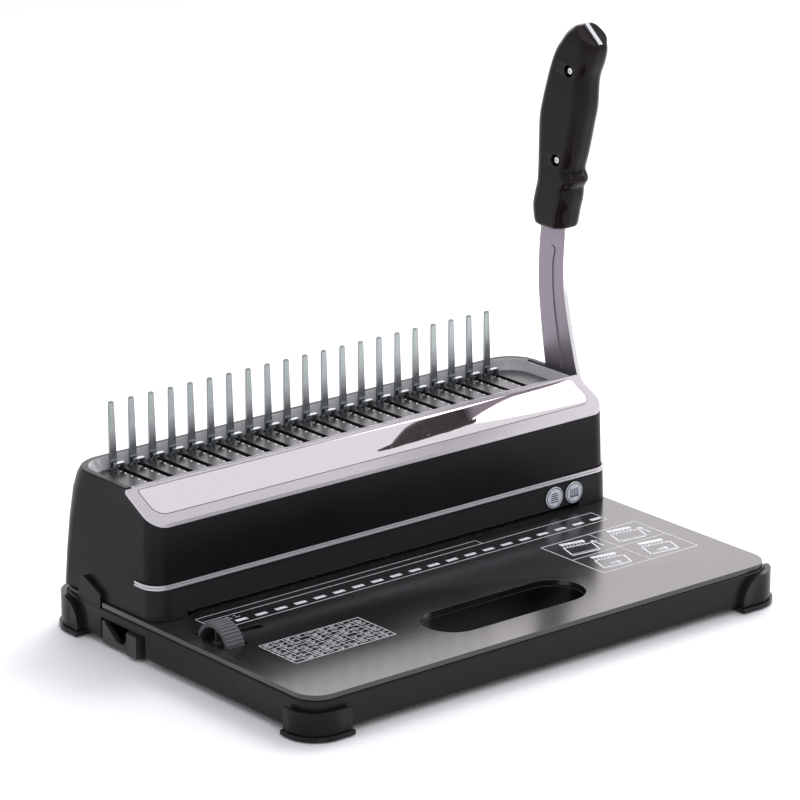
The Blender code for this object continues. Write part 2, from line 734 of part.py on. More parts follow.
def punch_parts():
    die("lower_die", LOWER_DIE_Z)
    die("upper_die", UPPER_DIE_Z)
    between = (LOWER_DIE_Z[1] + GAP, UPPER_DIE_Z[0] - GAP)
    box("back_stop", (-157.0, 157.0), (-55.4, -52.4), between, "dark_steel")
    side_frame("side_frame_left", -1)
    side_frame("side_frame_right", 1)
    for name, x in (("left", -POST_X), ("right", POST_X)):
        rod(f"guide_post_{name}", "z", (x, PUNCH_Y), 2.5, (UPPER_DIE_Z[1] + GAP, 80.0), "bright_steel", 12)
        return_spring(f"return_spring_{name}", x)


# Lever


def crank(name, side):
    """A plate on the shaft with two pins: a short throw for the punch bar and a long one for the opener."""
    punch_at = (PIVOT[0] - PUNCH_CRANK * math.cos(STROKE / 2), PIVOT[1] + PUNCH_STROKE / 2)
    opener_at = (PIVOT[0] + OPENER_STROKE / 2, PIVOT[1] + OPENER_CRANK * math.cos(STROKE / 2))
    outline = [*arc(PIVOT, 10.5, 150, 390, 12), *arc(opener_at, 4.6, 10, 120, 5),
               *arc(punch_at, 3.1, 100, 210, 4)]
    bore = arc(PIVOT, SHAFT_RADIUS + GAP, 0, 345, 23)
    span = sorted((side * CRANK_X[0], side * CRANK_X[1]))
    plate = prism(name, "x", [outline, bore], span, "dark_steel")
    pin_span = sorted((side * (DRIVE_X[0] - 1.0), side * (CRANK_X[0] + 1.0)))
    for label, at in (("punch", punch_at), ("opener", opener_at)):
        join(plate, rod(f"{name}_{label}_pin", "x", at, CRANK_PIN_RADIUS, pin_span, sides=16))
    return plate


def bush(name, side):
    body = rod(name, "x", PIVOT, 9.0, sorted((side * 156.6, side * 161.0)), "bronze")
    flange = rod(name + "_flange", "x", PIVOT, 11.0, sorted((side * 160.3, side * 162.0)))
    bore = rod(name + "_bore", "x", PIVOT, SHAFT_RADIUS + GAP, sorted((side * 150, side * 170)))
    join(body, flange)
    return cut(body, bore)


ARM_LINE = (
    (PIVOT[0], PIVOT[1], 15.5),
    (-35.9, 75.0, 15.2),
    (-27.2, 96.0, 14.4),
    (-18.4, 137.0, 12.2),
    (-16.6, 161.0, 11.5),
    (-18.4, 187.5, 11.0),
    (-23.0, 222.0, 8.0),
    (-29.0, 262.0, 6.5),
    (-40.0, 299.0, 7.0),
    (-51.5, 314.5, 8.7),
)


def strip_outline(line, margin=0.0, steps=4):
    """An outline of a curved strip, from a centre line with its half widths."""
    points = curve_through(line, steps)
    left, right = [], []
    for index, (a, b, half) in enumerate(points):
        before = points[max(index - 1, 0)]
        after = points[min(index + 1, len(points) - 1)]
        along = Vector((after[0] - before[0], after[1] - before[1])).normalized()
        reach = half + margin
        left.append((a - along.y * reach, b + along.x * reach))
        right.append((a + along.y * reach, b - along.x * reach))
    return left, right


def cap(centre, start, steps):
    """Points inside the half circle that runs counter-clockwise from start round centre."""
    radius = (Vector(start) - Vector(centre)).length
    first = math.degrees(math.atan2(start[1] - centre[1], start[0] - centre[0]))
    return arc(centre, radius, first, first + 180, steps)[1:-1]


def lever_arm():
    left, right = strip_outline(ARM_LINE)
    hub = cap(PIVOT, left[0], 12)
    bore = arc(PIVOT, SHAFT_RADIUS + GAP, 0, 345, 23)
    arm = prism("lever_arm", "x", [[*right, *left[::-1], *hub], bore], ARM_X, "painted_steel")
    rib_line = [(y + 1.5, z, 3.4) for y, z, _ in ARM_LINE[1:6]]
    rib_line[-1] = (rib_line[-1][0] - 0.5, 172.0, 2.8)
    rib_left, rib_right = strip_outline(rib_line)
    top_end = cap(rib_line[-1][:2], rib_right[-1], 5)
    low_end = cap(rib_line[0][:2], rib_left[0], 5)
    rib = [*rib_right, *top_end, *rib_left[::-1], *low_end]
    return join(arm, prism("arm_rib", "x", [rib], (ARM_X[0] - 0.7, ARM_X[0] + 1.0)))


# Grip: rear y, front y and half thickness at each height, bottom to top
GRIP_LEVELS = (
    (187.8, -9.0, -29.5, 8.2),
    (188.7, -6.6, -32.0, 9.2),
    (190.6, -4.9, -33.8, 9.8),
    (200.0, -3.8, -35.9, 10.0),
    (208.0, -5.5, -38.2, 10.0),
    (214.5, -7.4, -38.9, 10.0),
    (217.0, -7.8, -40.4, 10.0),
    (220.0, -8.0, -42.2, 10.0),
    (223.0, -8.2, -41.6, 10.0),
    (227.0, -8.4, -39.9, 10.0),
    (238.0, -8.6, -43.3, 10.0),
    (256.0, -9.2, -47.8, 10.0),
    (268.0, -11.8, -50.6, 10.0),
    (285.0, -17.0, -51.9, 10.0),
    (296.0, -21.2, -56.2, 10.0),
    (303.0, -25.0, -58.0, 10.0),
    (309.0, -29.5, -57.6, 9.9),
    (314.0, -33.5, -57.0, 9.4),
    (317.5, -38.0, -52.0, 8.0),
    (318.8, -41.0, -48.0, 6.0),
)


def grip_half(name, side):
    """Half of the grip, inner (side -1) or outer (side 1), rounded round the strip that it holds."""
    rings = []
    for z, rear, front, half in GRIP_LEVELS:
        edge = min(GRIP_EDGE, (rear - front) / 2 - 0.3, half - 1.0)
        outer = half - edge
        ring = [(GRIP_PARTING, front), *arc((outer, front + edge), edge, -90, 0, 5),
                *arc((outer, rear - edge), edge, 0, 90, 5), (GRIP_PARTING, rear)]
        placed = [(GRIP_X + side * x, y) for x, y in ring]
        rings.append((z, placed if side > 0 else placed[::-1]))
    grip = smooth(loft(name, rings, "black_grip"), 40)
    left, right = strip_outline(ARM_LINE, GAP + 0.1, 3)
    along = (Vector(ARM_LINE[-1][:2]) - Vector(ARM_LINE[-2][:2])).normalized() * 8.0
    ends = [(p[0] + along.x, p[1] + along.y) for p in (right[-1], left[-1])]
    channel = [*right, *ends, *left[::-1]]
    cutters = [prism(name + "_channel", "x", [channel], (ARM_X[0] - GAP, ARM_X[1] + GAP))]
    notch = [(-36.0, 324.6), (-44.0, 318.4), (-64.0, 303.6), (-70.0, 310.0), (-70.0, 330.0), (-36.0, 330.0)]
    cutters.append(prism(name + "_notch", "x", [notch], (160, 200)))
    if side < 0:
        face = GRIP_X - GRIP_HALF
        for index, at in enumerate(GRIP_SCREWS):
            cutters.append(rod(f"grip_recess_{index}", "x", at, 3.9, (face - 2, face + 2.6), sides=12))
    return cut(grip, *cutters)


def lever_parts(joint):
    shaft = rod("handle_shaft", "x", PIVOT, SHAFT_RADIUS, (-164.5, 185.0), "bright_steel")
    spacer = rod("shaft_spacer", "x", PIVOT, 7.4, (162.4, 178.1), "black_nylon")
    cut(spacer, rod("spacer_bore", "x", PIVOT, SHAFT_RADIUS + GAP, (150, 190)))
    nut = rod("shaft_nut", "x", PIVOT, 10.0, (181.9, 188.2), "bright_steel", 6)
    cut(nut, rod("nut_bore", "x", PIVOT, SHAFT_RADIUS + GAP, (170, 185.4)))
    clip = rod("shaft_clip", "x", PIVOT, 8.6, (-163.9, -162.6), "bright_steel", 16)
    cut(clip, rod("clip_bore", "x", PIVOT, SHAFT_RADIUS + GAP, (-170, -150)))
    inner = grip_half("grip_inner_half", -1)
    outer = grip_half("grip_outer_half", 1)
    face = GRIP_X - GRIP_HALF
    depth = (face + 0.7, face + 2.3)
    screws = [rod(f"grip_screw_{name}", "x", at, 3.3, depth, "bright_steel", 12)
              for name, at in zip(("upper", "lower"), GRIP_SCREWS)]
    cranks = [crank("crank_left", -1), crank("crank_right", 1)]
    moving = [shaft, spacer, nut, clip, inner, outer, *screws, lever_arm(), *cranks]
    for obj in moving:
        hang(joint, obj)


def hang(joint, obj):
    """Hangs a part and the cutters that shape it on a joint, so that they move as one."""
    for modifier in obj.modifiers:
        if modifier.type == "BOOLEAN" and modifier.object.parent == FRAME:
            hang(joint, modifier.object)
    ride(joint, obj)


# Chip drawer


def chip_drawer():
    wall = 1.8
    low, high = DRAWER_Y
    left, right = DRAWER_X
    drawer = box("chip_drawer", DRAWER_X, DRAWER_Y, DRAWER_Z, "black_nylon")
    inner_x, inner_y = (left + wall, right - wall), (low + wall, high - wall)
    cut(drawer, box("drawer_hollow", inner_x, inner_y, (DRAWER_Z[0] + 1.6, 30.0)))
    lips = box("drawer_lips", (-170.0, right - 0.5), (low - 2.4, high + 0.4), (14.7, 16.0))
    lip_hole = box("drawer_lip_hole", (-185.0, right - 1.0), (low + 1.0, high - 1.0), (10.0, 20.0))
    join(drawer, cut(lips, lip_hole))
    face = box("drawer_face", (-175.2, left + 1.0), (low + 0.1, high - 0.1), (2.2, 15.8))
    rib = box("drawer_rib", (-177.0, -174.4), (-64.2, -54.4), (2.4, 15.6))
    join(drawer, face, rib)
    corners = [(-31.0, 20.0, 0), (-31.0, 15.0, 2.0), (-42.0, 6.6, 5.0), (-50.5, 5.4, 4.5),
               (-53.2, 14.0, 2.0), (-53.2, 20.0, 0)]
    return cut(drawer, prism("drawer_scoop", "x", [rounded(corners, 3)], (-182.0, left + 6.0)))


def drawer_runners():
    for name, y in (("drawer_runner_front", (-69.6, -66.2)), ("drawer_runner_rear", (-27.2, -23.8))):
        box(name, (-171.0, 150.0), y, (FLOOR_TOP + GAP, 14.3), "black_nylon")


# Margin adjuster


def guide_wheel():
    """A cup-shaped thumbwheel, open to the left, ridged over most of its rim."""
    y, z = WHEEL_CENTRE
    rim = []
    teeth, start, end = 30, -30.0, 285.0
    for tooth in range(teeth):
        for part, radius in ((0.0, WHEEL_RADIUS), (0.45, WHEEL_RADIUS), (0.55, WHEEL_RADIUS - 0.6),
                             (0.9, WHEEL_RADIUS - 0.6)):
            angle = math.radians(start + (end - start) * (tooth + part) / teeth)
            rim.append((y + radius * math.cos(angle), z + radius * math.sin(angle)))
    rim += arc((y, z), WHEEL_RADIUS, end, start + 360, 5)[:-1]
    wheel = prism("guide_wheel", "x", [rim], WHEEL_X, "grey_wheel")
    hollow = rod("wheel_hollow", "x", (y, z), 12.6, (WHEEL_X[0] - 2, WHEEL_X[1] - 2.5))
    bore = rod("wheel_bore", "x", (y, z), 1.5 + GAP, (-180, -140), sides=12)
    hub = rod("wheel_hub", "x", (y, z), 4.0, (WHEEL_X[0] + 0.5, WHEEL_X[1] - 1.0), sides=12)
    return cut(join(cut(wheel, hollow), hub), bore)


def edge_guide():
    """The side stop for the paper: a nut on the screw, and an arm with a tab that rises into the throat."""
    y, z = WHEEL_CENTRE
    guide = box("edge_guide", (-139.0, -129.0), (y - 4.5, y + 4.5), (12.4, 22.6), "black_nylon")
    cut(guide, rod("guide_bore", "x", (y, z), 1.5 + GAP, (-150, -120), sides=12))
    outline = [(-138.6, -120.0), (-129.4, -120.0), (-129.4, -80.0), (-140.0, -71.0), (-152.0, -71.0),
               (-152.0, -76.6), (-144.0, -76.6), (-138.6, -82.0)]
    join(guide, prism("guide_arm", "z", [outline], (13.0, 15.4)))
    return join(guide, box("guide_tab", (-151.8, -148.4), (-75.0, -72.8), (14.0, 28.0)))


def margin_parts():
    wheel_joint = empty("wheel_spin", WHEEL_CENTRE[0], WHEEL_CENTRE[1], -155.0, FRAME)
    y, z = WHEEL_CENTRE
    screw = rod("guide_screw", "x", WHEEL_CENTRE, 1.5, (-167.4, -121.0), "bright_steel", 12)
    hang(wheel_joint, guide_wheel())
    hang(wheel_joint, screw)
    hang(empty("guide_slide", parent=FRAME), edge_guide())
    foot = FLOOR_TOP + GAP
    cheek = [(y - 6, foot), (y + 6, foot), (y + 4, 22.7), (y - 4, 22.7)]
    bore = arc(WHEEL_CENTRE, 1.5 + GAP, 0, 330, 11)
    # The screw lies just under the table, so each cheek's bore is left open at its top.
    open_top = [(y - 1.4, z), (y - 1.4, 30.0), (y + 1.4, 30.0), (y + 1.4, z)]
    for name, x in (("wheel_bearing_left", (-167.0, -164.6)), ("wheel_bearing_right", (-147.2, -144.8))):
        bearing = prism(name, "x", [cheek], x, "black_nylon")
        round_cut = prism(name + "_bore", "x", [bore], (x[0] - 2, x[1] + 2))
        cut(bearing, round_cut, prism(name + "_open", "x", [open_top], (x[0] - 2, x[1] + 2)))


def main():
    base_pan()
    table_top()
    hand_slot_liner()
    base_parts()
    housing_parts()
    comb_plate()
    tine_comb()
    punch_parts()
    hang(empty("opener_slide_joint", parent=FRAME), opener_slide())
    punch_joint = empty("punch_joint", parent=FRAME)
    hang(punch_joint, punch_bar())
    hang(punch_joint, punch_pins())
    bush("shaft_bush_left", -1)
    bush("shaft_bush_right", 1)
    lever_parts(empty("lever_joint", PIVOT[0], PIVOT[1], parent=FRAME))
    hang(empty("drawer_joint", parent=FRAME), chip_drawer())
    drawer_runners()
    margin_parts()


clear_scene()
PARTS = new_collection("comb_binding_machine", False)
CUTTERS = new_collection("cutters", True)
FRAME = empty("machine_frame", -sum(BOX_Y) / 2, 0.0, -sum(BOX_X) / 2)
main()
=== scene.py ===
"""Looks of the comb binding machine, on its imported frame.

Lengths in the tables are millimetres, measured from the middle of the table in x (along the tines), from the
tines in y and from the ground in z. SHIFT turns them into the frame's metres.
"""

import json
import math

import bmesh
import bpy
from mathutils import Matrix, Vector


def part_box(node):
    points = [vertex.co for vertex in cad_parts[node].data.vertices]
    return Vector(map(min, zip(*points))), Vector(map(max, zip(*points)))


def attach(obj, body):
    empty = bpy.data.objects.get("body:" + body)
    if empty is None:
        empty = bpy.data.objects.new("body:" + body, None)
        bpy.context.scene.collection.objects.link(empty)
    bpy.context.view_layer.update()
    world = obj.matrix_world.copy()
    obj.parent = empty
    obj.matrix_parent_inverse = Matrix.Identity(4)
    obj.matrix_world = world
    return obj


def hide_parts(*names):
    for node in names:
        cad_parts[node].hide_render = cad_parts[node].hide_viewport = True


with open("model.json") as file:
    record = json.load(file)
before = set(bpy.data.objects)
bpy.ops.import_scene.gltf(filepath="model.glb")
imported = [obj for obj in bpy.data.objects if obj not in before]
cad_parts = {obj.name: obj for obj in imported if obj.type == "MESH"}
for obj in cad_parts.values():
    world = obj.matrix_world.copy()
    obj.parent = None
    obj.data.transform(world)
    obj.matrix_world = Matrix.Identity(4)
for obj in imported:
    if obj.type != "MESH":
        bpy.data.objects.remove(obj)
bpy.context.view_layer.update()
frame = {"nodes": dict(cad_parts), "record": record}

MM = 0.001
RING_COUNT = 21
RING_PITCH = 14.2875
TINE_SHIFT = -1.9
PIVOT = (-45.0, 56.0)
CREST = (-47.0, 99.0)
SLOPE = 0.518
SLOT_MIDDLE = (2.0, -178.8)
SLOT_HALF_RUN = 38.3
SLOT_RADIUS = 18.75
WHEEL_CENTRE = (-117.0, 21.2)
TABLE_HALF = 174.4
TABLE_Y = (-222.9, 17.9)
TABLE_BOTTOM = 23.0
TABLE_TOP = 26.0
GUARD_OUTER_X = 179.2
# How much further the housing reaches to the right than to the left
HOUSING_RIGHT = 3.4
LABEL_X = (129.0, 144.9)
LABEL_Z = 36.8


def corner_shift():
    """From the drawing's millimetres to the frame. The drawing has the tine comb centred on x = y = 0."""
    low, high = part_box("tine_comb")
    return Vector(((low.x + high.x) / 2, (low.y + high.y) / 2, 0.0))


SHIFT = corner_shift()


# Materials


class Nodes:
    """A small builder for one material's nodes, all in the object's own coordinates."""

    def __init__(self, name):
        self.material = bpy.data.materials.new(name)
        self.material.use_nodes = True
        self.tree = self.material.node_tree
        self.shader = self.tree.nodes["Principled BSDF"]
        self.point = self.node("ShaderNodeTexCoord").outputs["Object"]

    def node(self, kind, **inputs):
        made = self.tree.nodes.new(kind)
        for key, value in inputs.items():
            made.inputs[key].default_value = value
        return made

    def link(self, output, target):
        self.tree.links.new(output, target)

    def stretched(self, x, y, z):
        mapping = self.node("ShaderNodeMapping", Scale=(x, y, z))
        self.link(self.point, mapping.inputs["Vector"])
        return mapping.outputs["Vector"]

    def noise(self, scale, detail=2.0, roughness=0.5, point=None):
        made = self.node("ShaderNodeTexNoise", Scale=scale, Detail=detail, Roughness=roughness)
        self.link(point or self.point, made.inputs["Vector"])
        return made.outputs["Fac"]

    def spread(self, value, low, high, start=0.3, end=0.7):
        made = self.node("ShaderNodeMapRange")
        made.inputs["From Min"].default_value = start
        made.inputs["From Max"].default_value = end
        made.inputs["To Min"].default_value = low
        made.inputs["To Max"].default_value = high
        self.link(value, made.inputs["Value"])
        return made.outputs["Result"]

    def mix(self, factor, first, second):
        made = self.tree.nodes.new("ShaderNodeMix")
        made.data_type = "RGBA"
        self.link(factor, made.inputs["Factor"])
        for socket, colour in ((made.inputs["A"], first), (made.inputs["B"], second)):
            if isinstance(colour, tuple):
                socket.default_value = (*colour, 1.0)
            else:
                self.link(colour, socket)
        return made.outputs["Result"]

    def bump(self, height, strength, distance):
        made = self.node("ShaderNodeBump", Strength=strength, Distance=distance)
        self.link(height, made.inputs["Height"])
        return made

    def edges(self, low=0.50, high=0.56):
        """1 on convex edges and 0 elsewhere."""
        geometry = self.tree.nodes.new("ShaderNodeNewGeometry")
        return self.spread(geometry.outputs["Pointiness"], 0.0, 1.0, low, high)

    def set(self, **values):
        for key, value in values.items():
            self.shader.inputs[key.replace("_", " ")].default_value = value


def plastic(name, colour, lighter, rough, grain, grain_scale, specular=0.5):
    """Moulded plastic: fine spark-eroded grain, slow changes of sheen, and convex edges a little lighter,
    partly rubbed wear and partly painted highlight.
    """
    n = Nodes(name)
    cloud = n.noise(14.0, 4.0, 0.55)
    fine = n.noise(grain_scale, 2.0, 0.6)
    base = n.mix(n.spread(cloud, 0.0, 1.0), colour, lighter)
    # Convex edges painted lighter: partly rubbed wear, partly painted highlight.
    worn = n.mix(n.edges(), base, tuple(min(1.0, c * 1.8 + 0.01) for c in lighter))
    n.link(worn, n.shader.inputs["Base Color"])
    n.link(n.spread(cloud, rough[0], rough[1]), n.shader.inputs["Roughness"])
    n.link(n.bump(fine, grain, 0.0002).outputs["Normal"], n.shader.inputs["Normal"])
    n.set(Specular_IOR_Level=specular)
    return n.material


# How far brush marks are squeezed along each axis
ALONG_X = (3.0, 60.0, 60.0)
ALONG_Z = (60.0, 60.0, 3.0)


def metal(name, colour, darker, rough, brush=ALONG_X, metallic=1.0):
    """Rolled or ground steel: brush marks along one axis, cloudy oxide, and convex edges brighter, partly
    worn metal and partly painted highlight.
    """
    n = Nodes(name)
    marks = n.noise(40.0, 5.0, 0.65, n.stretched(*brush))
    cloud = n.noise(22.0, 4.0, 0.6)
    base = n.mix(n.spread(cloud, 0.0, 1.0), darker, colour)
    # Convex edges painted brighter: partly worn metal, partly painted highlight.
    worn = n.mix(n.edges(0.51, 0.60), base, tuple(min(1.0, c * 1.35) for c in colour))
    n.link(worn, n.shader.inputs["Base Color"])
    n.link(n.spread(marks, rough[0], rough[1]), n.shader.inputs["Roughness"])
    n.link(n.bump(marks, 0.12, 0.0002).outputs["Normal"], n.shader.inputs["Normal"])
    n.set(Metallic=metallic)
    return n.material


def paint(name, colour, flake, rough, metallic):
    """Sprayed metallic paint: tiny flakes and a trace of orange peel."""
    n = Nodes(name)
    flakes = n.noise(2600.0, 1.0, 0.5)
    peel = n.noise(260.0, 2.0, 0.5)
    cloud = n.noise(9.0, 3.0, 0.5)
    base = n.mix(n.spread(flakes, 0.0, 1.0, 0.35, 0.65), colour, flake)
    n.link(base, n.shader.inputs["Base Color"])
    n.link(n.spread(cloud, rough[0], rough[1]), n.shader.inputs["Roughness"])
    n.link(n.bump(peel, 0.08, 0.0003).outputs["Normal"], n.shader.inputs["Normal"])
    n.set(Metallic=metallic, Coat_Weight=0.05, Coat_Roughness=0.15)
    return n.material


def mirror_film():
    n = Nodes("mirror_film")
    wave = n.noise(7.0, 2.0, 0.4)
    specks = n.noise(1400.0, 1.0, 0.5)
    base = n.mix(n.spread(specks, 0.0, 1.0, 0.3, 0.8), (0.88, 0.81, 0.83), (0.82, 0.76, 0.78))
    n.link(base, n.shader.inputs["Base Color"])
    n.link(n.spread(wave, 0.02, 0.045), n.shader.inputs["Roughness"])
    n.link(n.bump(wave, 0.04, 0.002).outputs["Normal"], n.shader.inputs["Normal"])
    n.set(Metallic=0.97)
    return n.material


def ink(name, colour):
    """Screen-printed ink: slightly uneven, a little worn through."""
    n = Nodes(name)
    wear = n.noise(420.0, 4.0, 0.6)
    worn = tuple(c * 0.72 for c in colour)
    n.link(n.mix(n.spread(wear, 0.0, 1.0, 0.45, 0.62), worn, colour), n.shader.inputs["Base Color"])
    n.link(n.spread(wear, 0.35, 0.6), n.shader.inputs["Roughness"])
    return n.material


def floor_paper():
    n = Nodes("studio_floor")
    cloud = n.noise(3.0, 2.0, 0.5)
    tone = n.mix(n.spread(cloud, 0.0, 1.0), (0.90, 0.90, 0.91), (0.93, 0.93, 0.93))
    n.link(tone, n.shader.inputs["Base Color"])
    n.link(n.spread(cloud, 0.55, 0.65), n.shader.inputs["Roughness"])
    return n.material


LOOKS = {
    "black_housing": plastic(
        "housing_black", (0.0025, 0.0025, 0.003), (0.005, 0.0045, 0.0055), (0.30, 0.42), 0.22, 1100.0, 0.13
    ),
    # Light grey tray walls: painted reflection of the bright surroundings on dark grey plastic.
    "black_tray": plastic(
        "tray_grey_painted_reflection", (0.27, 0.26, 0.275), (0.33, 0.32, 0.335), (0.18, 0.30), 0.10, 1100.0
    ),
    "black_base": plastic(
        "base_black", (0.002, 0.002, 0.0025), (0.004, 0.004, 0.005), (0.22, 0.32), 0.12, 1100.0, 0.16
    ),
    "black_table": plastic(
        "table_black", (0.0035, 0.0035, 0.004), (0.006, 0.006, 0.007), (0.15, 0.20), 0.05, 1300.0, 0.8
    ),
    "black_grip": plastic(
        "grip_black", (0.0045, 0.0025, 0.0025), (0.0075, 0.0045, 0.0045), (0.08, 0.14), 0.03, 700.0, 0.14
    ),
    "black_nylon": plastic(
        "nylon_black", (0.004, 0.004, 0.0045), (0.008, 0.008, 0.009), (0.38, 0.50), 0.25, 800.0
    ),
    "grey_wheel": plastic(
        "wheel_grey", (0.034, 0.030, 0.034), (0.055, 0.050, 0.055), (0.36, 0.48), 0.20, 900.0
    ),
    "rubber": plastic(
        "foot_rubber", (0.010, 0.010, 0.010), (0.018, 0.018, 0.018), (0.75, 0.90), 0.50, 500.0
    ),
    "silver_trim": paint("trim_silver", (0.48, 0.45, 0.48), (0.60, 0.565, 0.60), (0.28, 0.36), 0.75),
    "painted_steel": paint("arm_paint", (0.25, 0.215, 0.25), (0.33, 0.29, 0.33), (0.30, 0.40), 0.60),
    "mirror_panel": mirror_film(),
    "zinc_steel": metal(
        "zinc_plate", (0.30, 0.325, 0.325), (0.115, 0.125, 0.125), (0.16, 0.30), brush=ALONG_Z
    ),
    "dark_steel": metal(
        "black_oxide", (0.045, 0.045, 0.048), (0.025, 0.025, 0.027), (0.24, 0.38), metallic=0.7
    ),
    "bright_steel": metal("ground_steel", (0.62, 0.62, 0.64), (0.48, 0.48, 0.50), (0.16, 0.30)),
    "bronze": metal("bush_bronze", (0.60, 0.43, 0.22), (0.45, 0.30, 0.14), (0.25, 0.40)),
    "white_label": ink("label_white", (0.74, 0.78, 0.84)),
    "white_ink": ink("ink_white", (0.84, 0.85, 0.88)),
    "dark_ink": ink("ink_dark", (0.08, 0.10, 0.14)),
    "bright_edge": metal("bare_edge", (0.85, 0.83, 0.85), (0.74, 0.72, 0.74), (0.16, 0.26), brush=ALONG_Z),
}


# Outlines


def arc(centre, radius, start, end, steps):
    angles = [math.radians(start + (end - start) * i / steps) for i in range(steps + 1)]
    return [(centre[0] + radius * math.cos(a), centre[1] + radius * math.sin(a)) for a in angles]


def rounded(corners, steps=10):
    """An outline through corners (a, b, radius), with each corner turned into an arc of its radius."""
    outline = []
    for index, (a, b, radius) in enumerate(corners):
        here = Vector((a, b))
        if radius == 0:
            outline.append((a, b))
            continue
        before = (Vector(corners[index - 1][:2]) - here).normalized()
        after = (Vector(corners[(index + 1) % len(corners)][:2]) - here).normalized()
        half = before.angle(after) / 2
        centre = here + (before + after).normalized() * radius / math.sin(half)
        start = here + before * radius / math.tan(half) - centre
        end = here + after * radius / math.tan(half) - centre
        first = math.atan2(start.y, start.x)
        turn = (math.atan2(end.y, end.x) - first + math.pi) % (2 * math.pi) - math.pi
        for step in range(steps + 1):
            angle = first + turn * step / steps
            outline.append((centre.x + radius * math.cos(angle), centre.y + radius * math.sin(angle)))
    return outline


def rectangle(a, b, radii=(0, 0), steps=10):
    low, high = radii
    return rounded([(a[0], b[0], low), (a[1], b[0], low), (a[1], b[1], high), (a[0], b[1], high)], steps)


def stadium(centre, half_run, radius, steps=24):
    right = arc((centre[0] + half_run, centre[1]), radius, -90, 90, steps)
    left = arc((centre[0] - half_run, centre[1]), radius, 90, 270, steps)
    return right + left


def curve_through(knots, steps):
    padded = [knots[0], *knots, knots[-1]]
    points = []
    for before, start, end, after in zip(padded, padded[1:], padded[2:], padded[3:]):
        for step in range(steps):
            t = step / steps
            weights = (
                (-t + 2 * t**2 - t**3) / 2,
                (2 - 5 * t**2 + 3 * t**3) / 2,
                (t + 4 * t**2 - 3 * t**3) / 2,
                (-(t**2) + t**3) / 2,
            )
            four = (before, start, end, after)
            points.append(tuple(sum(w * k[i] for w, k in zip(weights, four)) for i in range(len(start))))
    return [*points, tuple(knots[-1])]


def strip_outline(line, margin=0.0, steps=12):
    """The two sides of a curved strip, from its centre line with half widths."""
    points = curve_through(line, steps)
    left, right = [], []
    for index, (a, b, half) in enumerate(points):
        before = points[max(index - 1, 0)]
        after = points[min(index + 1, len(points) - 1)]
        along = Vector((after[0] - before[0], after[1] - before[1])).normalized()
        reach = half + margin
        left.append((a - along.y * reach, b + along.x * reach))
        right.append((a + along.y * reach, b - along.x * reach))
    return left, right


def cap(centre, start, steps):
    """Points inside the half circle that runs counter-clockwise from start round centre."""
    radius = (Vector(start) - Vector(centre)).length
    first = math.degrees(math.atan2(start[1] - centre[1], start[0] - centre[0]))
    return arc(centre, radius, first, first + 180, steps)[1:-1]


# Solids


def add(name, mesh, look=None):
    obj = bpy.data.objects.new(name, mesh)
    bpy.context.scene.collection.objects.link(obj)
    if look:
        mesh.materials.append(LOOKS[look])
    return obj


def upright(axis, middle):
    at = middle * MM
    rows = {
        "x": ((0, 0, 1, at), (1, 0, 0, 0), (0, 1, 0, 0), (0, 0, 0, 1)),
        "y": ((1, 0, 0, 0), (0, 0, -1, at), (0, 1, 0, 0), (0, 0, 0, 1)),
        "z": ((1, 0, 0, 0), (0, 1, 0, 0), (0, 0, 1, at), (0, 0, 0, 1)),
    }
    return Matrix.Translation(SHIFT) @ Matrix(rows[axis])


def flat_mesh(name, outlines, thick):
    """A plate of outlines, each inside another being a hole, centred on its own plane."""
    curve = bpy.data.curves.new(name, "CURVE")
    curve.dimensions = "2D"
    curve.fill_mode = "BOTH"
    curve.extrude = thick / 2 * MM
    for outline in outlines:
        spline = curve.splines.new("POLY")
        spline.points.add(len(outline) - 1)
        for point, (a, b) in zip(spline.points, outline):
            point.co = (a * MM, b * MM, 0.0, 1.0)
        spline.use_cyclic_u = True
    drawn = bpy.data.objects.new(name, curve)
    bpy.context.scene.collection.objects.link(drawn)
    mesh = bpy.data.meshes.new_from_object(drawn.evaluated_get(bpy.context.evaluated_depsgraph_get()))
    bpy.data.objects.remove(drawn)
    bpy.data.curves.remove(curve)
    bm = bmesh.new()
    bm.from_mesh(mesh)
    bmesh.ops.remove_doubles(bm, verts=bm.verts, dist=1e-6)
    bmesh.ops.recalc_face_normals(bm, faces=bm.faces)
    bm.to_mesh(mesh)
    bm.free()
    return mesh


def prism(name, axis, outlines, span, look=None):
    mesh = flat_mesh(name, outlines, span[1] - span[0])
    mesh.transform(upright(axis, (span[0] + span[1]) / 2))
    return add(name, mesh, look)


def slope_place(depth):
    """From a drawing on the fascia's slope (x, distance from the crest) to the frame, depth below it."""
    tilt = Matrix.Rotation(math.atan(SLOPE), 4, "X")
    crest = Matrix.Translation((0.0, CREST[0] * MM, CREST[1] * MM))
    return Matrix.Translation(SHIFT) @ crest @ tilt @ Matrix.Translation((0.0, 0.0, -depth * MM))


def slope_prism(name, outlines, below, look=None):
    mesh = flat_mesh(name, outlines, below[1] - below[0])
    mesh.transform(slope_place((below[0] + below[1]) / 2))
    return add(name, mesh, look)


def box(name, x, y, z, look=None):
    mesh = bpy.data.meshes.new(name)
    bm = bmesh.new()
    bmesh.ops.create_cube(bm, size=1.0)
    size = [(span[1] - span[0]) * MM for span in (x, y, z)]
    middle = [(span[1] + span[0]) / 2 * MM for span in (x, y, z)]
    bm.transform(Matrix.Translation(SHIFT) @ Matrix.Translation(middle) @ Matrix.Diagonal((*size, 1.0)))
    bm.to_mesh(mesh)
    bm.free()
    return add(name, mesh, look)


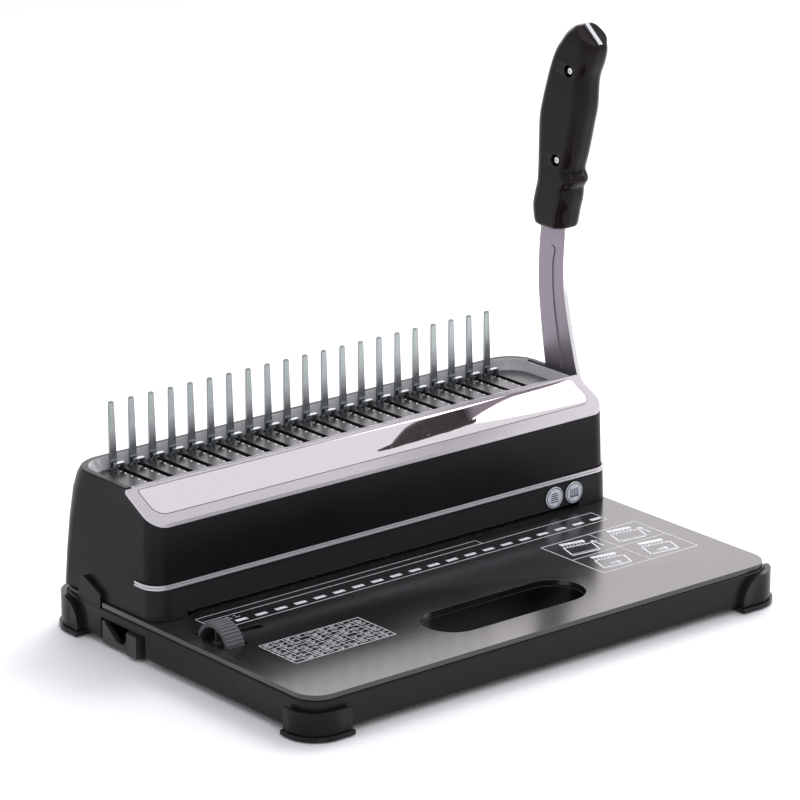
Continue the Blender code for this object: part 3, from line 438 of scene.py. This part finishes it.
def rod(name, axis, centre, radius, span, look=None, sides=64, far=None):
    mesh = bpy.data.meshes.new(name)
    bm = bmesh.new()
    depth = (span[1] - span[0]) * MM
    radii = {"radius1": radius * MM, "radius2": (radius if far is None else far) * MM}
    bmesh.ops.create_cone(bm, cap_ends=True, segments=sides, depth=depth, **radii)
    bm.transform(Matrix.Translation((centre[0] * MM, centre[1] * MM, 0.0)))
    bm.transform(upright(axis, (span[0] + span[1]) / 2))
    bm.to_mesh(mesh)
    bm.free()
    return add(name, mesh, look)


def loft(name, rings, look=None):
    """A closed solid through rings of equal length. A ring is (z, [(x, y), ...]) or a list of 3D points."""
    mesh = bpy.data.meshes.new(name)
    bm = bmesh.new()
    loops = []
    for ring in rings:
        points = [(x, y, ring[0]) for x, y in ring[1]] if isinstance(ring, tuple) else ring
        loops.append([bm.verts.new(Vector(p) * MM + SHIFT) for p in points])
    bm.faces.new(reversed(loops[0]))
    bm.faces.new(loops[-1])
    for lower, upper in zip(loops, loops[1:]):
        for i in range(len(lower)):
            j = (i + 1) % len(lower)
            bm.faces.new((lower[i], lower[j], upper[j], upper[i]))
    bmesh.ops.recalc_face_normals(bm, faces=bm.faces)
    bm.to_mesh(mesh)
    bm.free()
    return add(name, mesh, look)


def modify(obj, kind, **settings):
    modifier = obj.modifiers.new(kind.lower(), kind)
    for key, value in settings.items():
        setattr(modifier, key, value)
    return obj


def bevel(obj, width, segments=3, angle=40.0):
    return modify(obj, "BEVEL", width=width * MM, segments=segments, angle_limit=math.radians(angle))


def combine(obj, operation, others):
    for other in others:
        modify(obj, "BOOLEAN", operation=operation, object=other)
    return bake(obj, others)


def cut(obj, *others):
    return combine(obj, "DIFFERENCE", others)


def join(obj, *others):
    return combine(obj, "UNION", others)


def keep(obj, *others):
    return combine(obj, "INTERSECT", others)


def bake(obj, used=()):
    """Applies an object's modifiers and drops the helpers that they used."""
    mesh = bpy.data.meshes.new_from_object(obj.evaluated_get(bpy.context.evaluated_depsgraph_get()))
    obj.modifiers.clear()
    obj.data = mesh
    bm = bmesh.new()
    bm.from_mesh(mesh)
    bmesh.ops.remove_doubles(bm, verts=bm.verts, dist=2e-6)
    bmesh.ops.dissolve_degenerate(bm, edges=bm.edges, dist=1e-6)
    bm.to_mesh(mesh)
    bm.free()
    for other in used:
        bpy.data.objects.remove(other)
    return obj


def polish(obj, angle=32.0):
    """The last step of a piece: modifiers applied, smooth faces, sharp edges where it really turns."""
    bake(obj)
    obj.data.shade_smooth()
    obj.data.set_sharp_from_angle(angle=math.radians(angle))
    return modify(obj, "WEIGHTED_NORMAL", keep_sharp=True)


def gather(name, objects, look=None):
    """One piece from several, such as a set of printed marks."""
    bm = bmesh.new()
    for obj in objects:
        bm.from_mesh(obj.data)
        bpy.data.objects.remove(obj)
    mesh = bpy.data.meshes.new(name)
    bm.to_mesh(mesh)
    bm.free()
    return add(name, mesh, look)


def settle(obj, body, stands_for=()):
    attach(obj, body)
    if stands_for:
        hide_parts(*stands_for)
    return obj


def ring_x(index):
    return (index - (RING_COUNT - 1) / 2) * RING_PITCH


def tine_x(index):
    return ring_x(index) + TINE_SHIFT


# Base


def table_sheet():
    front, rear = TABLE_Y
    edge = rounded(
        [
            (-TABLE_HALF, front, 15.0),
            (TABLE_HALF, front, 15.0),
            (TABLE_HALF, rear, 18.2),
            (-TABLE_HALF, rear, 18.2),
            (-TABLE_HALF, -4.0, 0),
            (-172.4, -4.0, 0),
            (-172.4, -27.6, 0),
            (-TABLE_HALF, -27.6, 0),
        ]
    )
    holes = [
        stadium(SLOT_MIDDLE, SLOT_HALF_RUN, SLOT_RADIUS),
        rectangle((-161.2, 161.2), (-70.5, 12.0)),
        rectangle((-163.6, -148.1), (-133.6, -100.4), (2.0, 2.0), 4),
        rectangle((-140.4, -125.6), (-117.8, -112.8)),
        rectangle((-155.2, -145.0), (-76.0, -71.6)),
    ]
    table = prism("table_sheet", "z", [edge, *holes], (TABLE_BOTTOM, TABLE_TOP), "black_table")
    bevel(table, 1.1, 4)
    return settle(polish(table, 30), "machine", ["table_top"])


def quarter(low, high, foot, top, radius):
    centre = (low + radius, top - radius)
    return [(high, foot), (high, top), *arc(centre, radius, 90, 180, 20), (low, foot)]


def corner_guard(name, side, end, length, top, round_radius):
    """A bumper round one corner of the base. side is -1 left or 1 right, end -1 front or 1 rear."""
    outer_x = GUARD_OUTER_X
    outer_y, radius = (22.2, 22.5) if end > 0 else (227.7, 18.8)
    long_x, long_y = length

    def placed(points):
        flipped = [(side * a, end * b) for a, b in points]
        return flipped if side * end > 0 else flipped[::-1]

    def square(out_x, out_y, reach_x, reach_y, corner, span, label):
        points = rounded([(out_x - reach_x, out_y - reach_y, 0), (out_x, out_y - reach_y, 0),
                          (out_x, out_y, corner), (out_x - reach_x, out_y, 0)], 14)
        return prism(label, "z", [placed(points)], span, "black_base")

    guard = square(outer_x, outer_y, long_x, long_y, radius, (0.8, top), "bumper_" + name)
    flange = square(
        outer_x + 1.4, outer_y + 1.4, long_x + 2.4, long_y + 2.4, radius + 1.4, (1.0, 3.7), "flange"
    )
    join(guard, bake(bevel(flange, 0.5, 2)))
    cutters = []
    if round_radius:
        low_x, low_y = outer_x - long_x, outer_y - long_y
        for axis, low, out, sign in (("y", low_x, outer_x, side), ("x", low_y, outer_y, end)):
            view = quarter(low, out + 9, 3.9, top, round_radius)
            above = [(low - 9, 3.9), (low - 9, 60), (out + 9, 60), *view[1:]]
            cutters.append(prism("above", axis, [[(sign * a, z) for a, z in above]], (-250, 250)))
    cutters.append(square(175.7, outer_y - 3.5, 90, 90, radius - 3.5, (3.7, 60.0), "inside"))
    if name == "front_left":
        cutters.append(square(177.2, outer_y - 2.0, 90, 90, radius - 2.0, (9.0, 60.0), "rim"))
    pad = (side * (outer_x - 15), end * (outer_y - 15))
    cutters.append(rod("pocket", "z", pad, 9.4, (0.0, 2.7), sides=32))
    cut(guard, *cutters)
    bevel(guard, 0.6, 3, 35)
    return settle(polish(guard), "machine", ["guard_" + name])


def guards():
    corner_guard("front_left", -1, -1, (30.0, 24.0), 17.2, 0)
    corner_guard("front_right", 1, -1, (32.0, 25.0), 21.6, 15.0)
    corner_guard("rear_left", -1, 1, (32.0, 31.0), 22.4, 15.0)
    corner_guard("rear_right", 1, 1, (32.0, 31.0), 22.4, 15.0)


# Housing

# Half width, front y, rear y and rear corner radius at each height
HOUSING_LEVELS = (
    (26.3, 172.4, -77.7, 18.2, 10.0),
    (44.4, 171.9, -77.4, 17.9, 11.5),
    (44.8, 171.9, -75.9, 17.9, 11.5),
    (67.0, 171.3, -75.6, 17.4, 14.5),
    (86.0, 170.7, -75.3, 16.0, 17.5),
    (95.0, 170.4, -75.2, 13.7, 19.5),
    (98.6, 170.1, -75.1, 11.6, 20.0),
    (99.5, 169.8, -74.8, 11.1, 20.0),
    (100.0, 169.3, -74.4, 10.4, 20.0),
)


def housing_rings(inset, levels):
    rings = []
    for z, half, front, rear, radius in levels:
        x, y = (-half + inset, half + HOUSING_RIGHT - inset), (front + inset, rear - inset)
        rings.append((z, rectangle(x, y, (11 - inset, radius - inset), 14)))
    return rings


def slope_line(y, drop):
    return CREST[1] + SLOPE * (y - CREST[0]) - drop


def above_slope(drop):
    front, back, top = -95.0, -46.5, 130.0
    outline = [(front, slope_line(front, drop)), (back, slope_line(back, drop)), (back, top), (front, top)]
    return prism("above_slope", "x", [outline], (-190, 190))


def housing_cover():
    shell = loft("housing_cover", housing_rings(0.0, HOUSING_LEVELS), "black_housing")
    levels = [(20.0, 172.6, -77.8, 18.3, 9.5), *[v for v in HOUSING_LEVELS if v[0] in (26.3, 67.0, 86.0)],
              (91.5, 170.5, -75.2, 14.6, 18.7)]
    cavity = loft("cavity", housing_rings(2.5, levels))
    cut(cavity, above_slope(5.35))
    tray_levels = ((91.2, 162.2, 3.6, 16.0), (93.6, 162.2, 3.6, 16.0), (97.6, 164.2, 5.6, 17.0),
                   (99.2, 165.2, 6.6, 17.6), (101.0, 167.0, 8.2, 18.5))
    tray_rings = [(z, rectangle((-half, half + HOUSING_RIGHT), (-46.8, rear), (0.5, radius), 14))
                  for z, half, rear, radius in tray_levels]
    tray = loft("tray", tray_rings)
    throat = box("throat", (-150, 150), (-90, -60), (20, 29.4))
    hole = rod("hole", "x", PIVOT, 8.0, (165, 180))
    cut(shell, cavity, above_slope(2.65), tray, throat, hole)
    bevel(shell, 0.35, 2, 40)
    paint_tray_reflection(polish(shell, 28))
    return settle(shell, "machine", ["housing_shell"])


def paint_tray_reflection(shell):
    """The tray's walls get a lighter look of their own: dark grey plastic painted light grey, a painted
    reflection of the bright surroundings.
    """
    shell.data.materials.append(LOOKS["black_tray"])
    middle_x, middle_y = HOUSING_RIGHT / 2, -19.0
    for face in shell.data.polygons:
        at = (face.center - SHIFT) / MM
        inward = face.normal.dot(Vector((middle_x, middle_y, at.z)) - at) > 0
        if inward and 91.0 < at.z < 99.6 and -46.0 < at.y < 8.0 and abs(at.x - middle_x) < 167.0:
            face.material_index = 1


def fascia():
    trim = loft("fascia_cover", housing_rings(0.0, HOUSING_LEVELS), "silver_trim")
    front, thick = -95.0, 2.3
    slab = [
        (front, slope_line(front, 0)),
        CREST,
        (CREST[0], CREST[1] - thick),
        (front, slope_line(front, thick)),
    ]
    keep(trim, prism("slab", "x", [slab], (-190, 190)))
    back = [
        (-47.6, 98.5),
        (-46.9, 98.9),
        (-38.0, 95.0),
        (-33.5, 94.4),
        (-33.5, 93.6),
        (-39.0, 93.6),
        (-47.6, 96.9),
    ]
    join(trim, prism("back", "x", [back], (-161.8, 165.2)))
    pocket = rectangle((-163.6, 167.2), (-24.8, -2.0), (8.0, 2.4))
    cut(trim, slope_prism("pocket", [pocket], (-3.0, 1.0)))
    bevel(trim, 0.35, 3, 35)
    settle(polish(trim, 30), "machine", ["fascia_trim"])
    inlay = rectangle((-163.1, 166.7), (-24.3, -2.5), (7.6, 2.0))
    panel = slope_prism("mirror_inlay", [inlay], (-0.1, 0.7))
    panel.data.materials.append(LOOKS["mirror_panel"])
    bevel(panel, 0.18, 2)
    polish(panel).modifiers.clear()
    settle(panel, "machine", ["fascia_panel"])


def silver_band():
    """Two ridges with a dark groove between them, round the front of the step."""
    def ring(inset, low, high):
        return housing_rings(inset, ((low, 171.9, -75.9, 17.9, 11.5), (high, 171.88, -75.88, 17.8, 11.6)))

    band = loft("silver_band", ring(-1.4, 44.9, 47.9), "silver_trim")
    cut(band, loft("inside", ring(-0.3, 40.0, 52.0)), box("behind", (-190, 190), (-58.0, 60.0), (30, 60)))
    groove = loft("groove", ring(-3.0, 46.15, 46.75))
    cut(groove, loft("groove_inside", ring(-0.8, 40.0, 52.0)))
    cut(band, groove)
    bevel(band, 0.3, 3, 40)
    settle(polish(band, 30), "machine", ["accent_strip"])


# Comb tray


def tines():
    outline = [(-157.2, 80.0), (157.2, 80.0), (157.2, 86.5)]
    for index in reversed(range(RING_COUNT)):
        x = tine_x(index)
        tip = arc((x - 0.6, 134.0), 1.8, 0, 180, 8)
        outline += [(x + 2.6, 86.5), (x + 2.5, 96.0), *tip, (x - 2.6, 86.5)]
    outline.append((-157.2, 86.5))
    comb = prism("tines", "y", [outline], (-0.8, 0.8), "zinc_steel")
    bevel(comb, 0.32, 2, 50)
    settle(polish(comb, 35), "machine", ["tine_comb"])


def painted_glint_pips():
    """Small stamped pips along the left edge of each slot, in bright steel: painted glints where the slot
    edges catch the light.
    """
    pips = []
    for index in range(RING_COUNT):
        for y in (-5.0, -9.5, -16.0, -23.0, -29.0):
            at = (tine_x(index) + 1.9, y)
            pips.append(rod("pip", "z", at, 0.75, (93.25, 93.75), sides=10, far=0.35))
    settle(polish(gather("plate_pips_painted_glint", pips, "bright_steel"), 60), "machine")


# Lever

ARM_LINE = (
    (PIVOT[0], PIVOT[1], 15.5),
    (-35.9, 75.0, 15.2),
    (-27.2, 96.0, 14.4),
    (-18.4, 137.0, 12.2),
    (-16.6, 161.0, 11.5),
    (-18.4, 187.5, 11.0),
    (-23.0, 222.0, 8.0),
    (-29.0, 262.0, 6.5),
    (-40.0, 299.0, 7.0),
    (-51.5, 314.5, 8.7),
)
ARM_X = (178.5, 181.5)


def lever_strip():
    left, right = strip_outline(ARM_LINE)
    hub = cap(PIVOT, left[0], 40)
    outlines = [[*right, *left[::-1], *hub], arc(PIVOT, 6.3, 0, 352.5, 47)]
    arm = prism("lever_strip", "x", outlines, ARM_X, "painted_steel")
    arm.data.materials.append(LOOKS["bright_edge"])
    for face in arm.data.polygons:
        if abs(face.normal.x) < 0.5:
            face.material_index = 1
    bake(bevel(arm, 0.45, 2, 50))
    knots = [(y + 1.5, z, 3.4) for y, z, _ in ARM_LINE[1:6]]
    knots[-1] = (knots[-1][0] - 0.5, 172.0, 2.8)
    rib_left, rib_right = strip_outline(knots)
    upper_end, lower_end = cap(knots[-1][:2], rib_right[-1], 12), cap(knots[0][:2], rib_left[0], 12)
    rib = [*rib_right, *upper_end, *rib_left[::-1], *lower_end]
    raised = prism("rib", "x", [rib], (ARM_X[0] - 0.7, ARM_X[0] + 1.0), "painted_steel")
    join(arm, bake(bevel(raised, 0.5, 3)))
    settle(polish(arm, 30), "lever", ["lever_arm"])


# Rear y, front y and half thickness of the grip at each height
GRIP_LEVELS = (
    (187.8, -9.0, -29.5, 8.2),
    (188.7, -6.6, -32.0, 9.2),
    (190.6, -4.9, -33.8, 9.8),
    (200.0, -3.8, -35.9, 10.0),
    (208.0, -5.5, -38.2, 10.0),
    (214.5, -7.4, -38.9, 10.0),
    (217.0, -7.8, -40.4, 10.0),
    (220.0, -8.0, -42.2, 10.0),
    (223.0, -8.2, -41.6, 10.0),
    (227.0, -8.4, -39.9, 10.0),
    (238.0, -8.6, -43.3, 10.0),
    (256.0, -9.2, -47.8, 10.0),
    (268.0, -11.8, -50.6, 10.0),
    (285.0, -17.0, -51.9, 10.0),
    (296.0, -21.2, -56.2, 10.0),
    (303.0, -25.0, -58.0, 10.0),
    (309.0, -29.5, -57.6, 9.9),
    (314.0, -33.5, -57.0, 9.4),
    (317.5, -38.0, -52.0, 8.0),
    (318.8, -41.0, -48.0, 6.0),
)
GRIP_SCREWS = ((-40.2, 290.4), (-29.0, 232.4))
GRIP_X = 180.0
# Half of the thin line left open between the two halves
GRIP_PARTING = 0.03
GRIP_EDGE = 8.0


def grip_half(name, side):
    """Half of the grip, inner (side -1) or outer (side 1), rounded round the strip that it holds."""
    rings = []
    for z, rear, front, half in curve_through(GRIP_LEVELS, 4):
        edge = min(GRIP_EDGE, (rear - front) / 2 - 0.3, half - 1.0)
        outer = half - edge
        ring = [(GRIP_PARTING, front), *arc((outer, front + edge), edge, -90, 0, 12),
                *arc((outer, rear - edge), edge, 0, 90, 12), (GRIP_PARTING, rear)]
        placed = [(GRIP_X + side * x, y) for x, y in ring]
        rings.append((z, placed if side > 0 else placed[::-1]))
    grip = loft(name, rings, "black_grip")
    left, right = strip_outline(ARM_LINE, 0.4, 6)
    along = (Vector(ARM_LINE[-1][:2]) - Vector(ARM_LINE[-2][:2])).normalized() * 8.0
    ends = [(p[0] + along.x, p[1] + along.y) for p in (right[-1], left[-1])]
    cutters = [prism("channel", "x", [[*right, *ends, *left[::-1]]], (ARM_X[0] - 0.3, ARM_X[1] + 0.3))]
    notch = [(-36.0, 324.6), (-44.0, 318.4), (-64.0, 303.6), (-70.0, 310.0), (-70.0, 330.0), (-36.0, 330.0)]
    cutters.append(prism("notch", "x", [notch], (160, 200)))
    if side < 0:
        cutters += [rod("recess", "x", at, 3.9, (168.0, 172.6), sides=40) for at in GRIP_SCREWS]
    cut(grip, *cutters)
    bevel(grip, 0.1, 2, 55)
    return polish(grip, 38)


def grips():
    settle(grip_half("grip_inner", -1), "lever", ["grip_inner_half"])
    settle(grip_half("grip_outer", 1), "lever", ["grip_outer_half"])
    heads = []
    for at in GRIP_SCREWS:
        head = rod("head", "x", at, 1.9, (171.2, 172.4), sides=32, far=2.7)
        arms = [box("arm", (170.0, 171.8), (at[0] - 1.2, at[0] + 1.2), (at[1] - 0.3, at[1] + 0.3)),
                box("arm", (170.0, 171.8), (at[0] - 0.3, at[0] + 0.3), (at[1] - 1.2, at[1] + 1.2))]
        heads.append(bake(bevel(cut(head, *arms), 0.15, 2, 30)))
    settle(polish(gather("grip_screw_heads", heads, "bright_steel")), "lever",
           ["grip_screw_upper", "grip_screw_lower"])


def pivot_hardware():
    nut = rod("pivot_nut", "x", PIVOT, 10.0, (183.2, 188.2), "bright_steel", 6)
    chamfer = rod("chamfer", "x", PIVOT, 10.6, (183.2, 189.2), sides=64, far=8.4)
    keep(nut, chamfer)
    cut(nut, rod("bore", "x", PIVOT, 6.3, (182, 185.4), sides=48))
    bevel(nut, 0.2, 2, 25)
    settle(polish(nut, 25), "lever", ["shaft_nut"])
    washer = rod("pivot_washer", "x", PIVOT, 11.2, (181.8, 183.0), "bright_steel")
    cut(washer, rod("bore", "x", PIVOT, 6.3, (180, 185), sides=48))
    bevel(washer, 0.25, 2)
    settle(polish(washer), "lever")


# Margin wheel

WHEEL_X = (-162.0, -149.5)
# One tooth of the thumbwheel: how far along it, and the radius there
TOOTH = ((0.0, 14.4), (0.12, 14.9), (0.3, 15.0), (0.48, 14.9), (0.6, 14.4), (0.8, 14.35))


def thumbwheel():
    y, z = WHEEL_CENTRE
    rim = []
    teeth, start, end = 34, -30.0, 285.0
    for tooth in range(teeth):
        for part, radius in TOOTH:
            angle = math.radians(start + (end - start) * (tooth + part) / teeth)
            rim.append((y + radius * math.cos(angle), z + radius * math.sin(angle)))
    rim += arc((y, z), 15.0, end, start + 360, 12)[:-1]
    wheel = prism("thumbwheel", "x", [rim], WHEEL_X, "grey_wheel")
    keep(wheel, chamfered_disc(y, z, WHEEL_X, 15.2))
    hollow = rod("hollow", "x", (y, z), 12.6, (-165.0, -152.0), far=12.0)
    cut(wheel, hollow)
    hub = rod("hub", "x", (y, z), 4.0, (-161.5, -150.5), sides=40)
    join(wheel, hub)
    spoke_x, half = (-159.5, -151.0), 0.6
    upper = [(y - half, z + 3.0), (y + half, z + 3.0), (y + half, z + 12.4), (y - half, z + 12.4)]
    cross = box("spoke", spoke_x, (y - 12.4, y + 12.4), (z - half, z + half))
    join(wheel, prism("spoke", "x", [upper], spoke_x), cross)
    cut(wheel, rod("bore", "x", (y, z), 1.8, (-180, -140), sides=32))
    settle(polish(wheel, 28), "wheel", ["guide_wheel"])


def chamfered_disc(y, z, span, radius):
    """A disc whose two edges are chamfered, to trim the wheel with."""
    steps = ((0.0, 0.9), (0.5, 0.2), (1.2, 0.0))
    low, high = span
    profile = [(low + along, radius - drop) for along, drop in steps]
    profile += [(high - along, radius - drop) for along, drop in reversed(steps)]
    turns = [2 * math.pi * i / 96 for i in range(96)]
    rings = [[(x, y + r * math.cos(turn), z + r * math.sin(turn)) for turn in turns] for x, r in profile]
    return loft("disc", rings)


# Printing


def bar(a, b, width, top=TABLE_TOP, thick=0.06):
    """A printed line from a to b."""
    start, end = Vector(a), Vector(b)
    along = (end - start).normalized()
    side = Vector((-along.y, along.x)) * width / 2
    outline = [tuple(start - side), tuple(end - side), tuple(end + side), tuple(start + side)]
    return prism("bar", "z", [outline], (top - 0.02, top + thick))


def frame_lines(x, y, width):
    corners = [(x[0], y[0]), (x[1], y[0]), (x[1], y[1]), (x[0], y[1])]
    return [bar(a, b, width) for a, b in zip(corners, corners[1:] + corners[:1])]


def path_lines(points, width, closed=False):
    ends = points[1:] + points[:1] if closed else points[1:]
    return [bar(a, b, width) for a, b in zip(points, ends)]


def ruler_print():
    marks = [bar((ring_x(i) - 4.0, -100.6), (ring_x(i) + 4.0, -100.6), 3.0) for i in range(RING_COUNT)]
    marks += path_lines([(-149.3, -104.0), (-149.3, -84.0), (60.8, -84.0), (60.8, -90.5)], 0.45)
    marks += path_lines([(-149.3, -90.5), (148.3, -90.5), (148.3, -105.6), (-143.0, -105.6)], 0.45)
    for index in range(4):
        x = -146.0 + index * 5.6
        marks += path_lines([(x, -95.6), (x + 3.4, -95.6)], 0.5)
        marks += path_lines([(x, -93.2), (x + (3.4, 2.2, 2.8, 1.6)[index], -93.2)], 0.5)
    settle(gather("ruler_print", marks, "white_ink"), "machine")


def chart_print():
    left, right, low, high = -147.0, -75.2, -174.7, -140.4
    marks = frame_lines((left, right), (low, high), 0.4)
    rows, columns = 8, 9
    tall, wide = (high - low) / rows, (right - left) / columns
    marks += [bar((left, low + tall * r), (right, low + tall * r), 0.28) for r in range(1, rows)]
    marks += [bar((left + wide * c, low), (left + wide * c, high), 0.28) for c in range(1, columns)]
    for r in range(rows):
        for c in range(columns):
            middle = low + tall * (r + 0.5)
            start = left + wide * (c + 0.2)
            length = wide * (0.35 + 0.25 * ((r * 5 + c * 3) % 4) / 3)
            if (r * 7 + c * 4) % 9:
                marks.append(bar((start, middle + 0.5), (start + length, middle + 0.5), 0.45))
            if (r + 2 * c) % 3:
                marks.append(bar((start, middle - 0.9), (start + length * 0.7, middle - 0.9), 0.4))
    settle(gather("size_chart_print", marks, "white_ink"), "machine")


def guide_print():
    """Four small panels: sheets, punching, opening a comb and hanging the sheets on it."""
    left, right, low, high = 82.9, 158.3, -174.9, -118.7
    middle_x, middle_y = (left + right) / 2, (low + high) / 2
    marks = frame_lines((left, right), (low, high), 0.55)
    marks += [bar((middle_x, low), (middle_x, high), 0.45), bar((left, middle_y), (right, middle_y), 0.45)]
    for column in (0, 1):
        for row in (0, 1):
            x = left + (middle_x - left) * column + 4.0
            y = low + (middle_y - low) * row + 4.0
            sheet = [(x + 2, y + 2), (x + 22, y), (x + 26, y + 12), (x + 6, y + 15)]
            marks += path_lines(sheet, 1.0, True)
            marks.append(bar((x + 7.5, y + 20.2), (x + 24.5, y + 17.4), 3.2))
            marks += path_lines([(x + 3.4, y + 3.8), (x + 23.2, y + 1.8)], 0.4)
            for k in range(7):
                tooth_x, tooth_y = x + 7 + 2.4 * k, y + 13.4 - 0.35 * k
                marks.append(bar((tooth_x, tooth_y), (tooth_x + 0.6, tooth_y + 4.2), 0.6))
            if row:
                marks += path_lines([(x + 28, y + 3), (x + 28, y + 14)], 0.9)
                marks += path_lines([(x + 26, y + 11.5), (x + 28, y + 15), (x + 30, y + 11.5)], 0.9)
            else:
                marks += path_lines([(x + 10, y + 6), (x + 18, y + 5)], 1.2)
                marks += path_lines([(x + 15.6, y + 7.6), (x + 18.6, y + 5), (x + 15.0, y + 3.2)], 0.8)
    settle(gather("guide_print", marks, "white_ink"), "machine")


def label_marks():
    """A ring and a plain pictogram on each of the two round stickers."""
    depth = (-78.67, -78.57)
    marks = []

    def front_bar(x, z, width, height):
        return box("mark", (x - width / 2, x + width / 2), depth, (z - height / 2, z + height / 2))

    for centre in LABEL_X:
        outer, inner = (arc((centre, LABEL_Z), radius, 0, 354, 59) for radius in (6.1, 5.6))
        marks.append(prism("ring", "y", [outer, inner], depth))
    left, right = LABEL_X
    marks += [front_bar(left, 34.0 + 1.3 * k, 6.4 - 0.5 * k, 0.7) for k in range(5)]
    marks.append(front_bar(right, 34.4, 7.0, 0.9))
    marks += [front_bar(right - 2.8 + 1.4 * k, 37.2, 0.7, 4.6) for k in range(5)]
    settle(gather("label_marks", marks, "dark_ink"), "machine")


# The solids that stay


def dress_frame():
    """A finish for each CAD solid that stays, with its edges eased."""
    slots = {row["node"]: row["material_slot"] for row in frame["record"]["subparts"]}
    for name, obj in frame["nodes"].items():
        obj.data.materials.clear()
        obj.data.materials.append(LOOKS[slots[name]])
        if obj.hide_render:
            continue
        obj.data.shade_smooth()
        modify(obj, "WELD", merge_threshold=0.00001)
        bevel(obj, 0.12 if "spring" in name else 0.3, 2, 38)
        modify(obj, "WEIGHTED_NORMAL", keep_sharp=True)


# Studio


def studio():
    floor = bpy.data.meshes.new("studio_floor")
    floor.from_pydata([(-30, -30, 0), (30, -30, 0), (30, 30, 0), (-30, 30, 0)], [], [(0, 1, 2, 3)])
    floor_object = bpy.data.objects.new("studio_floor", floor)
    floor.materials.append(floor_paper())
    bpy.context.scene.collection.objects.link(floor_object)
    world = bpy.data.worlds.new("studio_air")
    bpy.context.scene.world = world
    world.use_nodes = True
    world.node_tree.nodes["Background"].inputs["Color"].default_value = (0.95, 0.96, 1.0, 1.0)
    world.node_tree.nodes["Background"].inputs["Strength"].default_value = 0.88
    softbox("key_softbox", (0.95, 0.45, 1.45), (0.8, 0.8), 15.0, False)
    softbox("side_softbox", (1.6, -0.7, 0.8), (0.35, 1.1), 5.0, True)
    softbox("front_softbox", (-0.6, -1.7, 1.4), (0.3, 1.0), 4.0, True)
    softbox("rear_softbox", (0.55, 0.68, 0.53), (1.7, 0.6), 5.0, True, (1.0, 0.92, 0.94))
    bpy.context.scene.view_settings.view_transform = "Standard"


def softbox(name, place, size, power, mirrored, tint=(1.0, 1.0, 1.0)):
    """A soft light aimed at the machine. Its own shape shows in polished faces only if mirrored is true."""
    light = bpy.data.lights.new(name, "AREA")
    light.shape = "RECTANGLE"
    light.size, light.size_y = size
    light.energy = power
    light.color = tint
    obj = bpy.data.objects.new(name, light)
    obj.location = place
    obj.visible_glossy = mirrored
    obj.visible_camera = False
    obj.rotation_mode = "QUATERNION"
    obj.rotation_quaternion = (Vector((0.0, 0.05, 0.08)) - Vector(place)).to_track_quat("-Z", "Y")
    bpy.context.scene.collection.objects.link(obj)


CAMERA_PLACE = (-1.5416, -1.9642, 0.9136)
CAMERA_AZIMUTH = -39.39
CAMERA_ELEVATION = 17.92
CAMERA_LENS = 196.4


def camera():
    lens = bpy.data.cameras.new("camera")
    lens.lens = CAMERA_LENS
    lens.sensor_width = 36.0
    lens.clip_end = 50.0
    obj = bpy.data.objects.new("camera", lens)
    bpy.context.scene.collection.objects.link(obj)
    obj.location = Vector(CAMERA_PLACE) + SHIFT
    azimuth, elevation = math.radians(CAMERA_AZIMUTH), math.radians(CAMERA_ELEVATION)
    back = Vector((math.sin(azimuth) * math.cos(elevation), -math.cos(azimuth) * math.cos(elevation),
                   math.sin(elevation)))
    obj.rotation_mode = "QUATERNION"
    obj.rotation_quaternion = (-back).to_track_quat("-Z", "Y")
    bpy.context.scene.camera = obj


def build():
    camera()
    table_sheet()
    guards()
    housing_cover()
    fascia()
    silver_band()
    tines()
    painted_glint_pips()
    lever_strip()
    grips()
    pivot_hardware()
    thumbwheel()
    ruler_print()
    chart_print()
    guide_print()
    label_marks()
    dress_frame()
    studio()


build()
